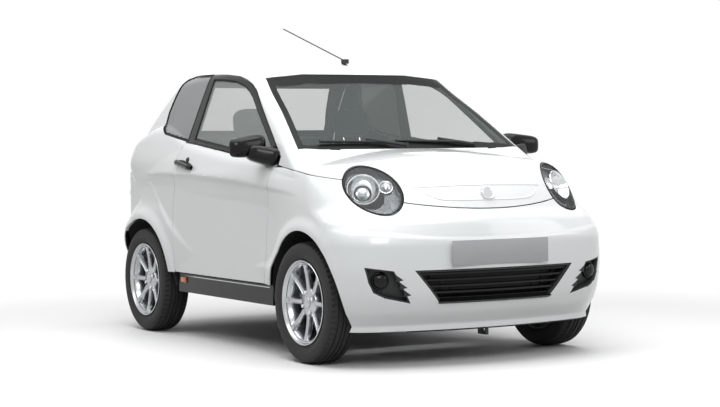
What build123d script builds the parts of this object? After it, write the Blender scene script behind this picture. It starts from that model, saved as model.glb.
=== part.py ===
"""Two-seat city microcar: plastic panels on an aluminium frame, two doors, a bonnet and a tailgate.

Row frame: +X forward, +Y to the car's left, +Z up, origin on the ground under the middle of the
body's length.  All sizes are in millimetres.  Each sub-part is written to parts/NODE.step.
"""
from build123d import *
import math
import os

os.makedirs("parts", exist_ok=True)

# ------------------------------------------------------------------ driving dimensions
LENGTH = 2758
WHEELBASE = 1796
FRONT_AXLE_X = 833
REAR_AXLE_X = FRONT_AXLE_X - WHEELBASE
PLATE_T = 2
NOSE_X = LENGTH / 2 - PLATE_T - 1
TAIL_X = -LENGTH / 2

TYRE_R = 278
TYRE_W = 155
TYRE_BEAD_R = 182
WHEEL_Y = 652            # middle of the tyre, from the car's centre plane
RIM_FLANGE_R = 195
RIM_W = 140

ARCH_R = 330             # wheel opening in the panels
LINER_R = 342
LINER_WALL = 5

SKIN = 6                 # moulded outer panels
WALL = 58                # whole door
QUARTER_WALL = 38        # whole rear side panel
ROOF_WALL = 32
GLASS = 5
GLASS_INSET = 4
LENS_T = 5
SEAT_GAP = 0.3           # clearance of a piece that is seated on its carrier
FIXED_GAP = 0.8          # joint line between two fixed panels
MOVING_GAP = 6           # joint line round a door or a lid

SIDE_BOTTOM = 338        # lower edge of the doors and side panels
SILL_BOTTOM = 236
SILL_OUT_Y = 682
FLOOR_Z = 262
FLOOR_T = 12
FLOOR_HALF = 588         # half width of the floor between the sills
BULKHEAD_X = 450
BULKHEAD_TOP = 900
BEAM_Y = (325, 385)      # inner and outer face of each frame beam
BEAM_BOTTOM = 190
REAR_FLOOR_Z = 412
TOW_EYE_X = 1240
TOW_EYE_Z = 150
TOW_EYE_R = 13

# Plan outline of the lower body at each height.  Columns: height, nose, nose bow radius,
# front half width, front corner radius, middle half width, rear half width, rear corner radius,
# tail, tail bow radius.
LOWER_LEVELS = [
    (190, NOSE_X - 92, 2000, 676, 200, 660, 676, 200, TAIL_X + 90, 2200),
    (260, NOSE_X - 42, 2100, 712, 210, 682, 716, 210, TAIL_X + 40, 2300),
    (350, NOSE_X - 12, 2200, 730, 218, 696, 737, 216, TAIL_X + 12, 2400),
    (440, NOSE_X - 3, 2300, 738, 220, 703, 744, 220, TAIL_X + 2, 2500),
    (545, NOSE_X, 2300, 738, 220, 707, 744, 220, TAIL_X, 2500),
    (640, NOSE_X - 19, 1700, 731, 212, 710, 725, 228, TAIL_X + 22, 2200),
    (705, NOSE_X - 68, 1200, 722, 200, 716, 703, 236, TAIL_X + 46, 2000),
    (765, NOSE_X - 104, 1080, 710, 176, 724, 694, 230, TAIL_X + 56, 1900),
    (830, NOSE_X - 155, 1030, 694, 152, 725, 692, 216, TAIL_X + 59, 1800),
    (900, NOSE_X - 229, 1000, 668, 130, 710, 702, 200, TAIL_X + 59, 1600),
    (1010, NOSE_X - 379, 1000, 622, 120, 678, 690, 180, TAIL_X + 89, 1500),
    (1190, NOSE_X - 640, 1000, 540, 120, 610, 620, 180, TAIL_X + 200, 1500),
]
# Plan outline of the greenhouse, same columns.
UPPER_LEVELS = [
    (850, 885, 4000, 700, 70, 710, 690, 160, -1330, 2500),
    (1000, 645, 4000, 652, 70, 666, 650, 160, -1245, 2500),
    (1150, 410, 4000, 608, 70, 622, 602, 150, -1130, 2200),
    (1270, 208, 3600, 570, 70, 586, 564, 150, -995, 2000),
    (1350, 94, 3300, 540, 70, 560, 538, 150, -890, 1900),
    (1460, -62, 3000, 500, 70, 520, 500, 150, -735, 1800),
]
DECK_CROWN_R = 3200      # cross curve of the bonnet and of the belt
ROOF_CROWN_R = 2700
ROOF_CREST = (-400, 1432)
ROOF_ARC_R = 3600

# Side view outlines (x, z): neighbours share these lines, and each panel is drawn back from them.
DOOR_FRONT = [(431, SIDE_BOTTOM), (470, 670), (522, 893), (546, 942)]
DOOR_REAR = [(-514, 1018), (-562, 904), (-615, 620), (-584, SIDE_BOTTOM)]
DOOR_HEAD = [(0, 1344), (-60, 1358), (-437, 1366)]
DOOR = DOOR_FRONT + DOOR_HEAD + DOOR_REAR
WINDOW = [(-466, 1030), (-416, 1346), (-66, 1338), (-16, 1322), (452, 978), (446, 932)]
QUARTER_WINDOW = [(-528, 1034), (-470, 1345), (-776, 1338), (-842, 1110), (-770, 1084)]
BONNET_EDGE = [(1500, 690), (1312, 701), (1215, 734), (1150, 784), (1100, 826), (600, 893)]
BONNET = BONNET_EDGE + [(500, 906), (500, 1100), (1500, 1100)]
WING = [(1150, 784), (1075, 668), (985, 552), (833, 430), (640, SIDE_BOTTOM)] + DOOR_FRONT[:3]
WING = WING + [(600, 893), (1100, 826)]
FRONT_BUMPER = [(1500, 690), (1312, 701), (1215, 734), (1150, 784), (1075, 668), (985, 552)]
FRONT_BUMPER = FRONT_BUMPER + [(900, 430), (1000, 190), (1500, 190)]
REAR_BUMPER = [(-1500, 190), (-1500, 600), (-1215, 600), (-1160, 520), (-1060, 400), (-1160, 190)]
QUARTER = [(-615, 620), (-562, 904), (-514, 1018), (-437, 1366), (-800, 1376), (-1500, 1376)]
QUARTER = QUARTER + [(-1500, 600), (-1215, 600), (-1160, 520), (-963, 430), (-700, SIDE_BOTTOM)]
QUARTER = QUARTER + [(-584, SIDE_BOTTOM)]
# Rear view outline (y, z) of the tailgate and of its glass.
TAILGATE = [(470, 1420), (552, 1130), (585, 1000), (575, 850), (560, 604)]
TAILGATE_GLASS = [(424, 1338), (512, 1130), (526, 1060)]
TAILGATE_FRONT_X = -803
# Front view outlines (y, z).
WINDSCREEN = [(623, 974), (504, 1332), (300, 1352)]
INTAKE = [(428, 440), (293, 286)]
FOG_RECESS = [(518, 446), (442, 290), (560, 320), (600, 430)]
LAMP = (508, 790, 110)
TAIL_LAMP = (640, 745, 58)
BONNET_REAR_X = 712
ROOF_EDGE_Y = 506         # the roof reaches this far out over the doors and side panels
BONNET_REAR_R = 2364

# ------------------------------------------------------------------ moving axes
DOOR_AXIS = (556, 694)
DOOR_HINGE_Z = (668, 790)
TAILGATE_AXIS = (-776, 1404)
BONNET_AXIS = (600, 970)
KINGPIN_Y = 590
PIN_R = 5
PIN_GAP = 0.05


def drawn_back(points, gap):
    """Closed outline with every edge moved inward by the gap."""
    n = len(points)
    area = sum(points[i][0] * points[(i + 1) % n][1] - points[(i + 1) % n][0] * points[i][1] for i in range(n))
    turn = 1 if area > 0 else -1
    lines = []
    for i in range(n):
        (x0, z0), (x1, z1) = points[i], points[(i + 1) % n]
        size = math.hypot(x1 - x0, z1 - z0)
        ux, uz = (x1 - x0) / size, (z1 - z0) / size
        lines.append((x0 - turn * uz * gap, z0 + turn * ux * gap, ux, uz))
    out = []
    for i in range(n):
        ax, az, aux, auz = lines[i - 1]
        bx, bz, bux, buz = lines[i]
        cross = aux * buz - auz * bux
        if abs(cross) < 1e-3:
            out.append((bx, bz))
            continue
        t = ((bx - ax) * buz - (bz - az) * bux) / cross
        out.append((ax + t * aux, az + t * auz))
    return out


def side_prism(points, y0=-900, y1=900):
    """Closed outline in side view, carried across the car from y0 to y1."""
    face = make_face(Polyline([(x, 0, z) for x, z in points], close=True))
    solid = extrude(face, amount=y1 - y0, dir=(0, 1, 0))
    return Pos(0, y0, 0) * solid


def rear_prism(points, x0, x1):
    """Closed outline in rear view (y, z), carried along the car from x0 to x1."""
    face = make_face(Polyline([(0, y, z) for y, z in points], close=True))
    return Pos(x0, 0, 0) * extrude(face, amount=x1 - x0, dir=(1, 0, 0))


def box(x0, x1, y0, y1, z0, z1):
    return Pos((x0 + x1) / 2, (y0 + y1) / 2, (z0 + z1) / 2) * Box(x1 - x0, y1 - y0, z1 - z0)


def rod(a, b, r):
    """Round bar from point a to point b."""
    path = Vector(*b) - Vector(*a)
    plane = Plane(origin=a, z_dir=path.normalized())
    return plane * Cylinder(r, path.length, align=(Align.CENTER, Align.CENTER, Align.MIN))


def both_sides(shape):
    return [shape, mirror(shape, about=Plane.XZ)]


# ------------------------------------------------------------------ body surfaces
def end_corner(end_x, sign, bow_r, half, r):
    """Corner circle tangent to the bowed end and to the side: points of its arc."""
    reach = math.sqrt((bow_r - r) ** 2 - (half - r) ** 2)
    bow_x = end_x - sign * bow_r
    centre_x = bow_x + sign * reach
    start = math.atan2(half - r, reach)
    middle = (start + math.pi / 2) / 2
    on_bow = (bow_x + sign * bow_r * math.cos(start), bow_r * math.sin(start))
    on_arc = (centre_x + sign * r * math.cos(middle), half - r + r * math.sin(middle))
    return on_bow, on_arc, (centre_x, half)


def plan_wire(level, inset):
    z, nose, nose_bow, half_f, r_f, half_m, half_r, r_r, tail, tail_bow = level
    f = end_corner(nose - inset, 1, nose_bow - inset, half_f - inset, r_f - inset)
    r = end_corner(tail + inset, -1, tail_bow - inset, half_r - inset, r_r - inset)
    half = half_m - inset
    middle_x = (f[2][0] + r[2][0]) / 2

    def arc(a, b, c):
        return ThreePointArc(*[(x, y, z) for x, y in (a, b, c)])

    def neg(p):
        return (p[0], -p[1])

    return Wire([
        arc(neg(f[0]), (nose - inset, 0), f[0]),
        arc(f[0], f[1], f[2]),
        arc(f[2], (middle_x, half), r[2]),
        arc(r[2], r[1], r[0]),
        arc(r[0], (tail + inset, 0), neg(r[0])),
        arc(neg(r[0]), neg(r[1]), neg(r[2])),
        arc(neg(r[2]), (middle_x, -half), neg(f[2])),
        arc(neg(f[2]), neg(f[1]), neg(f[0])),
    ])


def crowned(profile_edges, crown_r, top_z):
    """Side profile carried round an axis far below the car, which gives its top a cross curve."""
    axis = Axis((0, 0, top_z - crown_r), (1, 0, 0))
    face = make_face(Wire(profile_edges))
    sweep = 36
    return revolve(face.rotate(axis, -sweep / 2), axis, sweep)


def deck(inset):
    """Everything below the bonnet, the belt and the rear shoulder."""
    low = 100
    d = -inset
    pts = {n: (x, 0, z + d) for n, (x, z) in {
        "front": (1500, 560), "brow": (1180, 892), "mid": (1010, 945), "cowl": (600, 982),
        "pillar": (-470, 1089), "hip": (-850, 1170), "tail": (-1310, 1012), "end": (-1500, 946),
    }.items()}
    return crowned([
        Line((1500, 0, low), pts["front"]),
        Line(pts["front"], pts["brow"]),
        ThreePointArc(pts["brow"], pts["mid"], pts["cowl"]),
        Line(pts["cowl"], pts["pillar"]),
        Line(pts["pillar"], pts["hip"]),
        Line(pts["hip"], pts["tail"]),
        Line(pts["tail"], pts["end"]),
        Line(pts["end"], (-1500, 0, low)),
        Line((-1500, 0, low), (1500, 0, low)),
    ], DECK_CROWN_R, 980)


def roof_cap(inset):
    """Everything below the roof."""
    def at(x):
        dx = x - ROOF_CREST[0]
        return (x, 0, ROOF_CREST[1] - inset + math.sqrt(ROOF_ARC_R**2 - dx**2) - ROOF_ARC_R)
    front, rear, low = 1000, -1500, 700
    return crowned([
        Line((front, 0, low), at(front)),
        ThreePointArc(at(front), at(ROOF_CREST[0]), at(rear)),
        Line(at(rear), (rear, 0, low)),
        Line((rear, 0, low), (front, 0, low)),
    ], ROOF_CROWN_R, ROOF_CREST[1])


def lower_body(inset=0.0):
    levels = LOWER_LEVELS
    if inset > 0:
        levels = [(levels[0][0] - 60,) + levels[0][1:]] + levels
    loft = Solid.make_loft([plan_wire(level, inset) for level in levels], True)
    return loft & deck(inset)


def upper_body(inset=0.0):
    loft = Solid.make_loft([plan_wire(level, inset) for level in UPPER_LEVELS], True)
    return loft & roof_cap(inset)


# ------------------------------------------------------------------ shells
OUTER = lower_body() + upper_body()
SKIN_SHELL = OUTER - (lower_body(SKIN) + upper_body(SKIN))
FLARE_LIMIT = lower_body(-14)
FLARE_FLOOR = lower_body(SKIN / 2)
INNER_WALL = lower_body(WALL) + upper_body(ROOF_WALL)
WALL_SHELL = OUTER - INNER_WALL
GLASS_SHELL = upper_body(GLASS_INSET) - upper_body(GLASS_INSET + GLASS)
LAMP_SHELL = OUTER - (lower_body(LENS_T) + upper_body(LENS_T))


def wheel_disc(x, r, y0, y1):
    return Pos(x, (y0 + y1) / 2, TYRE_R) * Rot(90, 0, 0) * Cylinder(r, y1 - y0)


def ring(x, z, profile):
    """Turned solid about a wheel's axle line; the profile is (radius, y)."""
    face = make_face(Polyline([(x, y, z + r) for r, y in profile], close=True))
    return revolve(face, Axis((x, 0, z), (0, 1, 0)), 360)


def flare(x):
    """Lip that stands out round a wheel opening."""
    lip = [(ARCH_R, 690), (ARCH_R, 740), (ARCH_R + 14, 744), (ARCH_R + 60, 706), (ARCH_R + 60, 690)]
    return (ring(x, TYRE_R, lip) & FLARE_LIMIT) - FLARE_FLOOR


def lamp_rod(lamp, x0, x1, r_change=0.0):
    y, z, r = lamp
    return Pos((x0 + x1) / 2, y, z) * Rot(0, 90, 0) * Cylinder(r + r_change, x1 - x0)


def pair(shape):
    return Compound(children=[shape, mirror(shape, about=Plane.XZ)])


def joined(shapes):
    out = shapes[0]
    for shape in shapes[1:]:
        out = out + shape
    return out


def save(name, shape):
    if isinstance(shape, (list, tuple)):
        solids = [one for item in shape for one in item.solids()]
        shape = Compound(children=solids)
    elif not isinstance(shape, Compound):
        shape = Compound(children=list(shape.solids()))
    shape.label = name
    export_step(shape, f"parts/{name}.step")


front_arch = wheel_disc(FRONT_AXLE_X, ARCH_R, 300, 900)
rear_arch = wheel_disc(REAR_AXLE_X, ARCH_R, 300, 900)
rear_liner_space = wheel_disc(REAR_AXLE_X, LINER_R + LINER_WALL + SEAT_GAP, 380, 760) & lower_body(SKIN)
half_gap = FIXED_GAP / 2

# ------------------------------------------------------------------ left side, mirrored to the right
bonnet_space = Pos(BONNET_REAR_X - BONNET_REAR_R, 0, 900) * Cylinder(BONNET_REAR_R, 800)
cowl_space = Pos(BONNET_REAR_X - BONNET_REAR_R, 0, 1000) * Cylinder(BONNET_REAR_R - MOVING_GAP, 1400)
front_lamp_hole = lamp_rod(LAMP, 960, 1500)
tail_lamp_hole = lamp_rod(TAIL_LAMP, -1500, -1200)

wing = SKIN_SHELL & side_prism(drawn_back(WING, half_gap), 300, 900)
wing = wing + (flare(FRONT_AXLE_X) & side_prism(drawn_back(WING, half_gap), 300, 900))
wing = wing - front_arch - front_lamp_hole
wing = wing - side_prism(drawn_back(DOOR, -MOVING_GAP), 300, 900)
wing = wing - side_prism(drawn_back(BONNET, -MOVING_GAP), 300, 900)
save("front_wings", pair(wing))

door_outline = side_prism(DOOR, ROOF_EDGE_Y, 900)
door_inner = side_prism(drawn_back(DOOR, MOVING_GAP), ROOF_EDGE_Y, 900)
door = (SKIN_SHELL & door_outline) + (WALL_SHELL & door_inner)
door = door - side_prism(WINDOW, 300, 900)
door_glass = GLASS_SHELL & side_prism(drawn_back(WINDOW, SEAT_GAP), 300, 900)


def hinge_strap(z, reach, drop):
    """Bent strap from the door's inner face round the wing's edge to the pin."""
    ax, ay = DOOR_AXIS
    t = 6
    pts = [(ax - t, ay), (ax - t, ay - drop + t), (ax - reach, ay - drop + t), (ax - reach, ay - 30)]
    pts = pts + [(ax - reach - 2 * t, ay - 30), (ax - reach - 2 * t, ay - drop - t), (ax + t, ay - drop - t)]
    pts = pts + [(ax + t, ay)]
    bar = extrude(make_face(Polyline([(x, y, z - 11) for x, y in pts], close=True)), 22, dir=(0, 0, 1))
    eye = Pos(ax, ay, z) * Cylinder(PIN_R + 5, 22)
    return (bar + eye) - Pos(ax, ay, z) * Cylinder(PIN_R + PIN_GAP, 30)


door = door + hinge_strap(DOOR_HINGE_Z[0], 104, 88)
door = door + hinge_strap(DOOR_HINGE_Z[1], 66, 52)
save("door_left", door)
save("door_right", mirror(door, about=Plane.XZ))
save("door_glass_left", door_glass)
save("door_glass_right", mirror(door_glass, about=Plane.XZ))

# ------------------------------------------------------------------ rear side panels
quarter_outline = side_prism(drawn_back(QUARTER, half_gap), 300, 900)
tailgate_face = [(-y, z) for y, z in reversed(TAILGATE)]
tailgate_outline = TAILGATE + tailgate_face
tailgate_space = rear_prism(drawn_back(tailgate_outline, -MOVING_GAP), -1500, TAILGATE_FRONT_X + MOVING_GAP)
quarter_shell = OUTER - (lower_body(QUARTER_WALL) + upper_body(ROOF_WALL))
quarter = (quarter_shell & quarter_outline) + (flare(REAR_AXLE_X) & quarter_outline)
quarter = quarter - rear_arch - rear_liner_space - tailgate_space - tail_lamp_hole
quarter = quarter - side_prism(QUARTER_WINDOW, 300, 900)
quarter = quarter - side_prism(drawn_back(DOOR, -MOVING_GAP), 300, 900)
quarter = quarter - box(-1000, 100, 300, ROOF_EDGE_Y, 1300, 1450)
save("quarter_panels", pair(quarter))
quarter_glass = GLASS_SHELL & side_prism(drawn_back(QUARTER_WINDOW, SEAT_GAP), 300, 900)
save("quarter_glass", pair(quarter_glass))

# ------------------------------------------------------------------ roof, pillars and cowl
ROOF = [(770, 893), (606, 893), (546, 903), (546, 942)] + DOOR_HEAD + [(-800, 1376), (-800, 1600), (770, 1600)]
roof_space = side_prism(drawn_back(ROOF, half_gap))
roof_space = roof_space + box(-800, 30, -ROOF_EDGE_Y + MOVING_GAP, ROOF_EDGE_Y - MOVING_GAP, 1300, 1440)
roof = (OUTER & roof_space) - INNER_WALL
screen_outline = WINDSCREEN + [(-y, z) for y, z in reversed(WINDSCREEN)]
screen_space = rear_prism(screen_outline, 0, 900)
roof = (roof & cowl_space) - screen_space - tailgate_space
roof = roof - side_prism(drawn_back(DOOR, -MOVING_GAP), ROOF_EDGE_Y - MOVING_GAP, 900)
roof = roof - side_prism(drawn_back(DOOR, -MOVING_GAP), -900, MOVING_GAP - ROOF_EDGE_Y)
windscreen = (GLASS_SHELL & rear_prism(drawn_back(screen_outline, SEAT_GAP), 0, 900)) & cowl_space
save("windscreen", windscreen)

# ------------------------------------------------------------------ tailgate
tailgate_prism = rear_prism(tailgate_outline, -1500, TAILGATE_FRONT_X)
tailgate_inner = rear_prism(drawn_back(tailgate_outline, MOVING_GAP), -1500, TAILGATE_FRONT_X - MOVING_GAP)
tailgate = (SKIN_SHELL & tailgate_prism) + (WALL_SHELL & tailgate_inner)
glass_outline = TAILGATE_GLASS + [(-y, z) for y, z in reversed(TAILGATE_GLASS)]
tailgate = tailgate - rear_prism(glass_outline, -1500, TAILGATE_FRONT_X - 20)
tailgate_glass = GLASS_SHELL & rear_prism(drawn_back(glass_outline, SEAT_GAP), -1500, TAILGATE_FRONT_X - 20)
gx, gz = TAILGATE_AXIS
strap_side = [(gx + 4, gz - 6), (gx + 4, gz + 6), (gx - 40, gz + 6), (gx - 68, gz - 24), (gx - 64, gz - 44)]
strap_side = strap_side + [(gx - 44, gz - 22), (gx - 34, gz - 6)]
roof_hinges = []
hinge_room = Pos(gx, 0, gz) * Rot(90, 0, 0) * Cylinder(PIN_R + 6, 626) - Pos(gx, 0, gz) * Rot(90, 0, 0) * Cylinder(30, 574)
for y in (-300, 300):
    strap = side_prism(strap_side, y - 12, y + 12)
    eye = Pos(gx, y, gz) * Rot(90, 0, 0) * Cylinder(PIN_R + 4, 24)
    bore = Pos(gx, y, gz) * Rot(90, 0, 0) * Cylinder(PIN_R + PIN_GAP, 60)
    tailgate = (tailgate + strap + eye) - bore
    pin = Pos(gx, y, gz) * Rot(90, 0, 0) * Cylinder(PIN_R, 44)
    lugs = [box(gx - 8, gx + 9, y + s * 17.5 - 4.5, y + s * 17.5 + 4.5, gz - 24, gz + 8) for s in (-1, 1)]
    roof_hinges = roof_hinges + [pin] + lugs
arm_slots = box(560, 700, 418, 472, 860, 985) + box(560, 700, -472, -418, 860, 985)
roof = joined([roof - hinge_room - arm_slots] + roof_hinges)
save("roof_frame", roof)
save("tailgate", tailgate)
save("tailgate_glass", tailgate_glass)

# ------------------------------------------------------------------ bonnet
bonnet = (SKIN_SHELL & side_prism(BONNET)) - bonnet_space
bonnet = bonnet - front_lamp_hole - mirror(front_lamp_hole, about=Plane.XZ)
bx, bz = BONNET_AXIS
arm_side = [(bx - 8, bz), (bx - 8, bz - 8), (bx + 52, bz - 132), (bx + 64, bz - 132), (bx + 176, bz - 60)]
arm_side = arm_side + [(bx + 176, bz + 60), (bx + 162, bz + 60), (bx + 162, bz - 54), (bx + 62, bz - 118), (bx + 8, bz)]
bonnet_pins = []
for y in (-440, 440):
    arm = side_prism(arm_side, y - 8, y + 8) & (lower_body(1) + upper_body(10))
    eye = Pos(bx, y, bz) * Rot(90, 0, 0) * Cylinder(PIN_R + 5, 16)
    bore = Pos(bx, y, bz) * Rot(90, 0, 0) * Cylinder(PIN_R + PIN_GAP, 60)
    bonnet = (bonnet + arm + eye) - bore
    pin = Pos(bx, y + 2, bz) * Rot(90, 0, 0) * Cylinder(PIN_R, 40)
    bracket = box(BULKHEAD_X + 5, bx + 8, y + 14, y + 22, BULKHEAD_TOP - 20, bz + 8)
    bonnet_pins = bonnet_pins + [pin, bracket]
save("bonnet", bonnet)

# ------------------------------------------------------------------ bumpers
def front_outline(points):
    return rear_prism(points, 1000, 1500)


bumper = SKIN_SHELL & side_prism(drawn_back(FRONT_BUMPER, half_gap))
bumper = bumper + (flare(FRONT_AXLE_X) & side_prism(drawn_back(FRONT_BUMPER, half_gap), 300, 900))
bumper = bumper + (mirror(flare(FRONT_AXLE_X), about=Plane.XZ) & side_prism(drawn_back(FRONT_BUMPER, half_gap), -900, -300))
bumper = bumper - front_arch - mirror(front_arch, about=Plane.XZ)
bumper = bumper - front_lamp_hole - mirror(front_lamp_hole, about=Plane.XZ)
bumper = bumper - side_prism(drawn_back(BONNET, -MOVING_GAP))
intake_outline = INTAKE + [(-y, z) for y, z in reversed(INTAKE)]
bumper = bumper - front_outline(intake_outline)
for side in (1, -1):
    bumper = bumper - front_outline([(side * y, z) for y, z in FOG_RECESS])
PLATE_Z = 512
PLATE_SIZE = (520, 110)
plate_back = LENGTH / 2 - PLATE_T - SEAT_GAP
bumper = bumper + box(plate_back - 22, plate_back, -264, 264, PLATE_Z - 58, PLATE_Z + 58)
save("front_bumper", bumper)

rear_bumper = SKIN_SHELL & side_prism(drawn_back(REAR_BUMPER, half_gap))
for side in (1, -1):
    lip = flare(REAR_AXLE_X) if side > 0 else mirror(flare(REAR_AXLE_X), about=Plane.XZ)
    rear_bumper = rear_bumper + (lip & side_prism(drawn_back(REAR_BUMPER, half_gap)))
rear_bumper = rear_bumper - rear_arch - mirror(rear_arch, about=Plane.XZ)
rear_bumper = rear_bumper - tailgate_space
save("rear_bumper", rear_bumper)
plates = [box(LENGTH / 2 - PLATE_T, LENGTH / 2, -PLATE_SIZE[0] / 2, PLATE_SIZE[0] / 2, PLATE_Z - 55, PLATE_Z + 55)]

# ------------------------------------------------------------------ lamps and grille
lens = LAMP_SHELL & lamp_rod(LAMP, 960, 1500, -SEAT_GAP)
save("headlamp_lenses", pair(lens))
bowl = lower_body(LENS_T + SEAT_GAP) & (lamp_rod(LAMP, 990, 1500, -SEAT_GAP) - lamp_rod(LAMP, 998, 1500, -7))
save("headlamp_bowls", pair(bowl))
tail_lens = OUTER - lower_body(30)
tail_lens = tail_lens & lamp_rod(TAIL_LAMP, -1500, -1200, -SEAT_GAP)
save("tail_lamps", pair(tail_lens))

grille = []
behind_skin = lower_body(SKIN + SEAT_GAP)
grille_space = behind_skin - lower_body(30)
opening = front_outline(drawn_back(intake_outline, 14))
frame = front_outline(drawn_back(intake_outline, -8)) - opening
slats = joined([box(1100, 1500, -500, 500, z - 5, z + 5) for z in (306, 336, 366, 396, 426)])
grille.append(grille_space & (frame + (opening & slats)))
FOG_LAMP = (530, 382, 34)     # centre across, centre height, radius
blank_space = behind_skin - lower_body(SKIN + SEAT_GAP + 6)
for side in (1, -1):
    recess = front_outline(drawn_back([(side * y, z) for y, z in FOG_RECESS], -6))
    blank = blank_space & recess
    lamp = Pos(1250, side * FOG_LAMP[0], FOG_LAMP[1]) * Rot(0, 90, 0) * Cylinder(FOG_LAMP[2], 300)
    grille.append(blank + ((lower_body(4) - lower_body(SKIN + SEAT_GAP + 3)) & lamp))
save("intake_grille", grille)

# ------------------------------------------------------------------ frame, floor and cabin
frame = []
beam_top = FLOOR_Z - SEAT_GAP
for side in (1, -1):
    y0, y1 = sorted((side * BEAM_Y[0], side * BEAM_Y[1]))
    frame.append(box(-1200, 1215, y0, y1, BEAM_BOTTOM, beam_top))
    frame.append(box(1160, 1215, y0, y1, beam_top - 5, 540))
for x in (-1200, -640, 440, 690, 880, 1160):
    frame.append(box(x, x + 50, -BEAM_Y[0] - 5, BEAM_Y[0] + 5, BEAM_BOTTOM + 5, beam_top))
frame.append(box(1180, 1230, -500, 500, 470, 540))
for x in (TOW_EYE_X, -TOW_EYE_X):
    inner = x - math.copysign(44, x)
    outer = x + math.copysign(24, x)
    eye = box(min(inner, outer), max(inner, outer), -7, 7, TOW_EYE_Z - 24, BEAM_BOTTOM + 30)
    frame.append(eye - Pos(x, 0, TOW_EYE_Z) * Rot(90, 0, 0) * Cylinder(TOW_EYE_R, 40))
axle_notch = box(REAR_AXLE_X - 34, REAR_AXLE_X + 34, -400, 400, TYRE_R - 34, beam_top + 10)
save("underframe", joined(frame) - axle_notch)

floor = joined([
    box(-612, BULKHEAD_X + FLOOR_T, -FLOOR_HALF, FLOOR_HALF, FLOOR_Z, FLOOR_Z + FLOOR_T),
    box(BULKHEAD_X, BULKHEAD_X + FLOOR_T, -FLOOR_HALF, FLOOR_HALF, FLOOR_Z, BULKHEAD_TOP),
    box(-612, -600, -BEAM_Y[1], BEAM_Y[1], FLOOR_Z, REAR_FLOOR_Z + FLOOR_T),
    box(-1240, -600, -BEAM_Y[1], BEAM_Y[1], REAR_FLOOR_Z, REAR_FLOOR_Z + FLOOR_T),
] + bonnet_pins)
posts = []
post_limit = lower_body(SKIN + SEAT_GAP)
for side in (1, -1):
    ax, ay = DOOR_AXIS
    posts.append(box(576, 600, min(side * 500, side * 706), max(side * 500, side * 706), 640, 820) & post_limit)
    posts.append(box(BULKHEAD_X + 10, 590, min(side * 500, side * 584), max(side * 500, side * 584), 640, 820))
    for z in DOOR_HINGE_Z:
        posts.append(Pos(ax, side * ay, z) * Cylinder(PIN_R, 44))
        for dz in (-17, 17):
            posts.append(box(ax - 8, 580, side * ay - 7, side * ay + 7, z + dz - 4, z + dz + 4))
floor = joined([floor] + posts)
save("floor_pan", floor)

sills = []
for side in (1, -1):
    y0, y1 = sorted((side * (FLOOR_HALF + SEAT_GAP), side * SILL_OUT_Y))
    sills.append(box(-600, 470, y0, y1, SILL_BOTTOM, SIDE_BOTTOM - MOVING_GAP))
sills = [one - wheel_disc(FRONT_AXLE_X, LINER_R + LINER_WALL + 3, -900, 900) for one in sills]
save("sills", sills)

liners = []
liner_y = BEAM_Y[1] + SEAT_GAP
liner_limit = lower_body(SKIN + SEAT_GAP)
for x in (FRONT_AXLE_X, REAR_AXLE_X):
    shell = wheel_disc(x, LINER_R + LINER_WALL, liner_y, 760) - wheel_disc(x, LINER_R, liner_y + LINER_WALL, 770)
    liner = shell & box(-1500, 1500, 300, 900, FLOOR_Z, 900) & liner_limit
    liner = liner - box(x - 90, x + 90, liner_y - 5, liner_y + LINER_WALL + 5, FLOOR_Z - 10, 420)
    liners.append(pair(liner))
save("arch_liners", liners)

dash_side = [(BULKHEAD_X - SEAT_GAP, 620), (BULKHEAD_X - SEAT_GAP, 880), (400, 912), (250, 900), (190, 850), (180, 760), (230, 700), (300, 620)]
dash = side_prism(dash_side, -570, 570)
SW_CENTRE = (122, 300, 812)
SW_TILT = 24
sw_plane = Plane(origin=SW_CENTRE, z_dir=(-math.cos(math.radians(SW_TILT)), 0, math.sin(math.radians(SW_TILT))))
column = sw_plane * Pos(0, 0, -160) * Cylinder(26, 220, align=(Align.CENTER, Align.CENTER, Align.CENTER))
column = column & box(100, 446, 200, 400, 500, 1000)
shaft = sw_plane * Pos(0, 0, -40) * Cylinder(9, 60)
save("dashboard", joined([dash, column, shaft]))
wheel_rim = Torus(178, 14)
hub = Cylinder(48, 34)
spokes = [Rot(0, 0, a) * Pos(100, 0, 0) * Box(150, 30, 14) for a in (0, 180, 270)]
steering = sw_plane * Rot(0, 0, 90) * joined([wheel_rim, hub] + spokes)
shaft_room = sw_plane * Pos(0, 0, -40) * Cylinder(9 + PIN_GAP, 61)
save("steering_wheel", steering - shaft_room)

seats = []
for side in (1, -1):
    cy = side * 290
    cushion = [(-330, 300), (150, 330), (160, 420), (120, 462), (-296, 440), (-345, 400)]
    back = [(-335, 402), (-302, 436), (-235, 440), (-330, 700), (-400, 960), (-440, 985), (-480, 960), (-440, 640), (-400, 400)]
    head = [(-432, 1000), (-390, 1010), (-410, 1160), (-450, 1172), (-490, 1150), (-478, 1010)]
    body = joined([
        side_prism(cushion, cy - 235, cy + 235),
        side_prism(back, cy - 225, cy + 225),
        side_prism(head, cy - 110, cy + 110),
        rod((-455, cy - 50, 950), (-455, cy - 50, 1040), 7),
        rod((-455, cy + 50, 950), (-455, cy + 50, 1040), 7),
        box(-300, 120, cy - 200, cy - 170, FLOOR_Z + FLOOR_T + SEAT_GAP, 345),
        box(-300, 120, cy + 170, cy + 200, FLOOR_Z + FLOOR_T + SEAT_GAP, 345),
    ])
    seats.append(body)
save("seats", seats)

save("engine_block", box(620, 1000, -290, 290, FLOOR_Z, 640))

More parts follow.
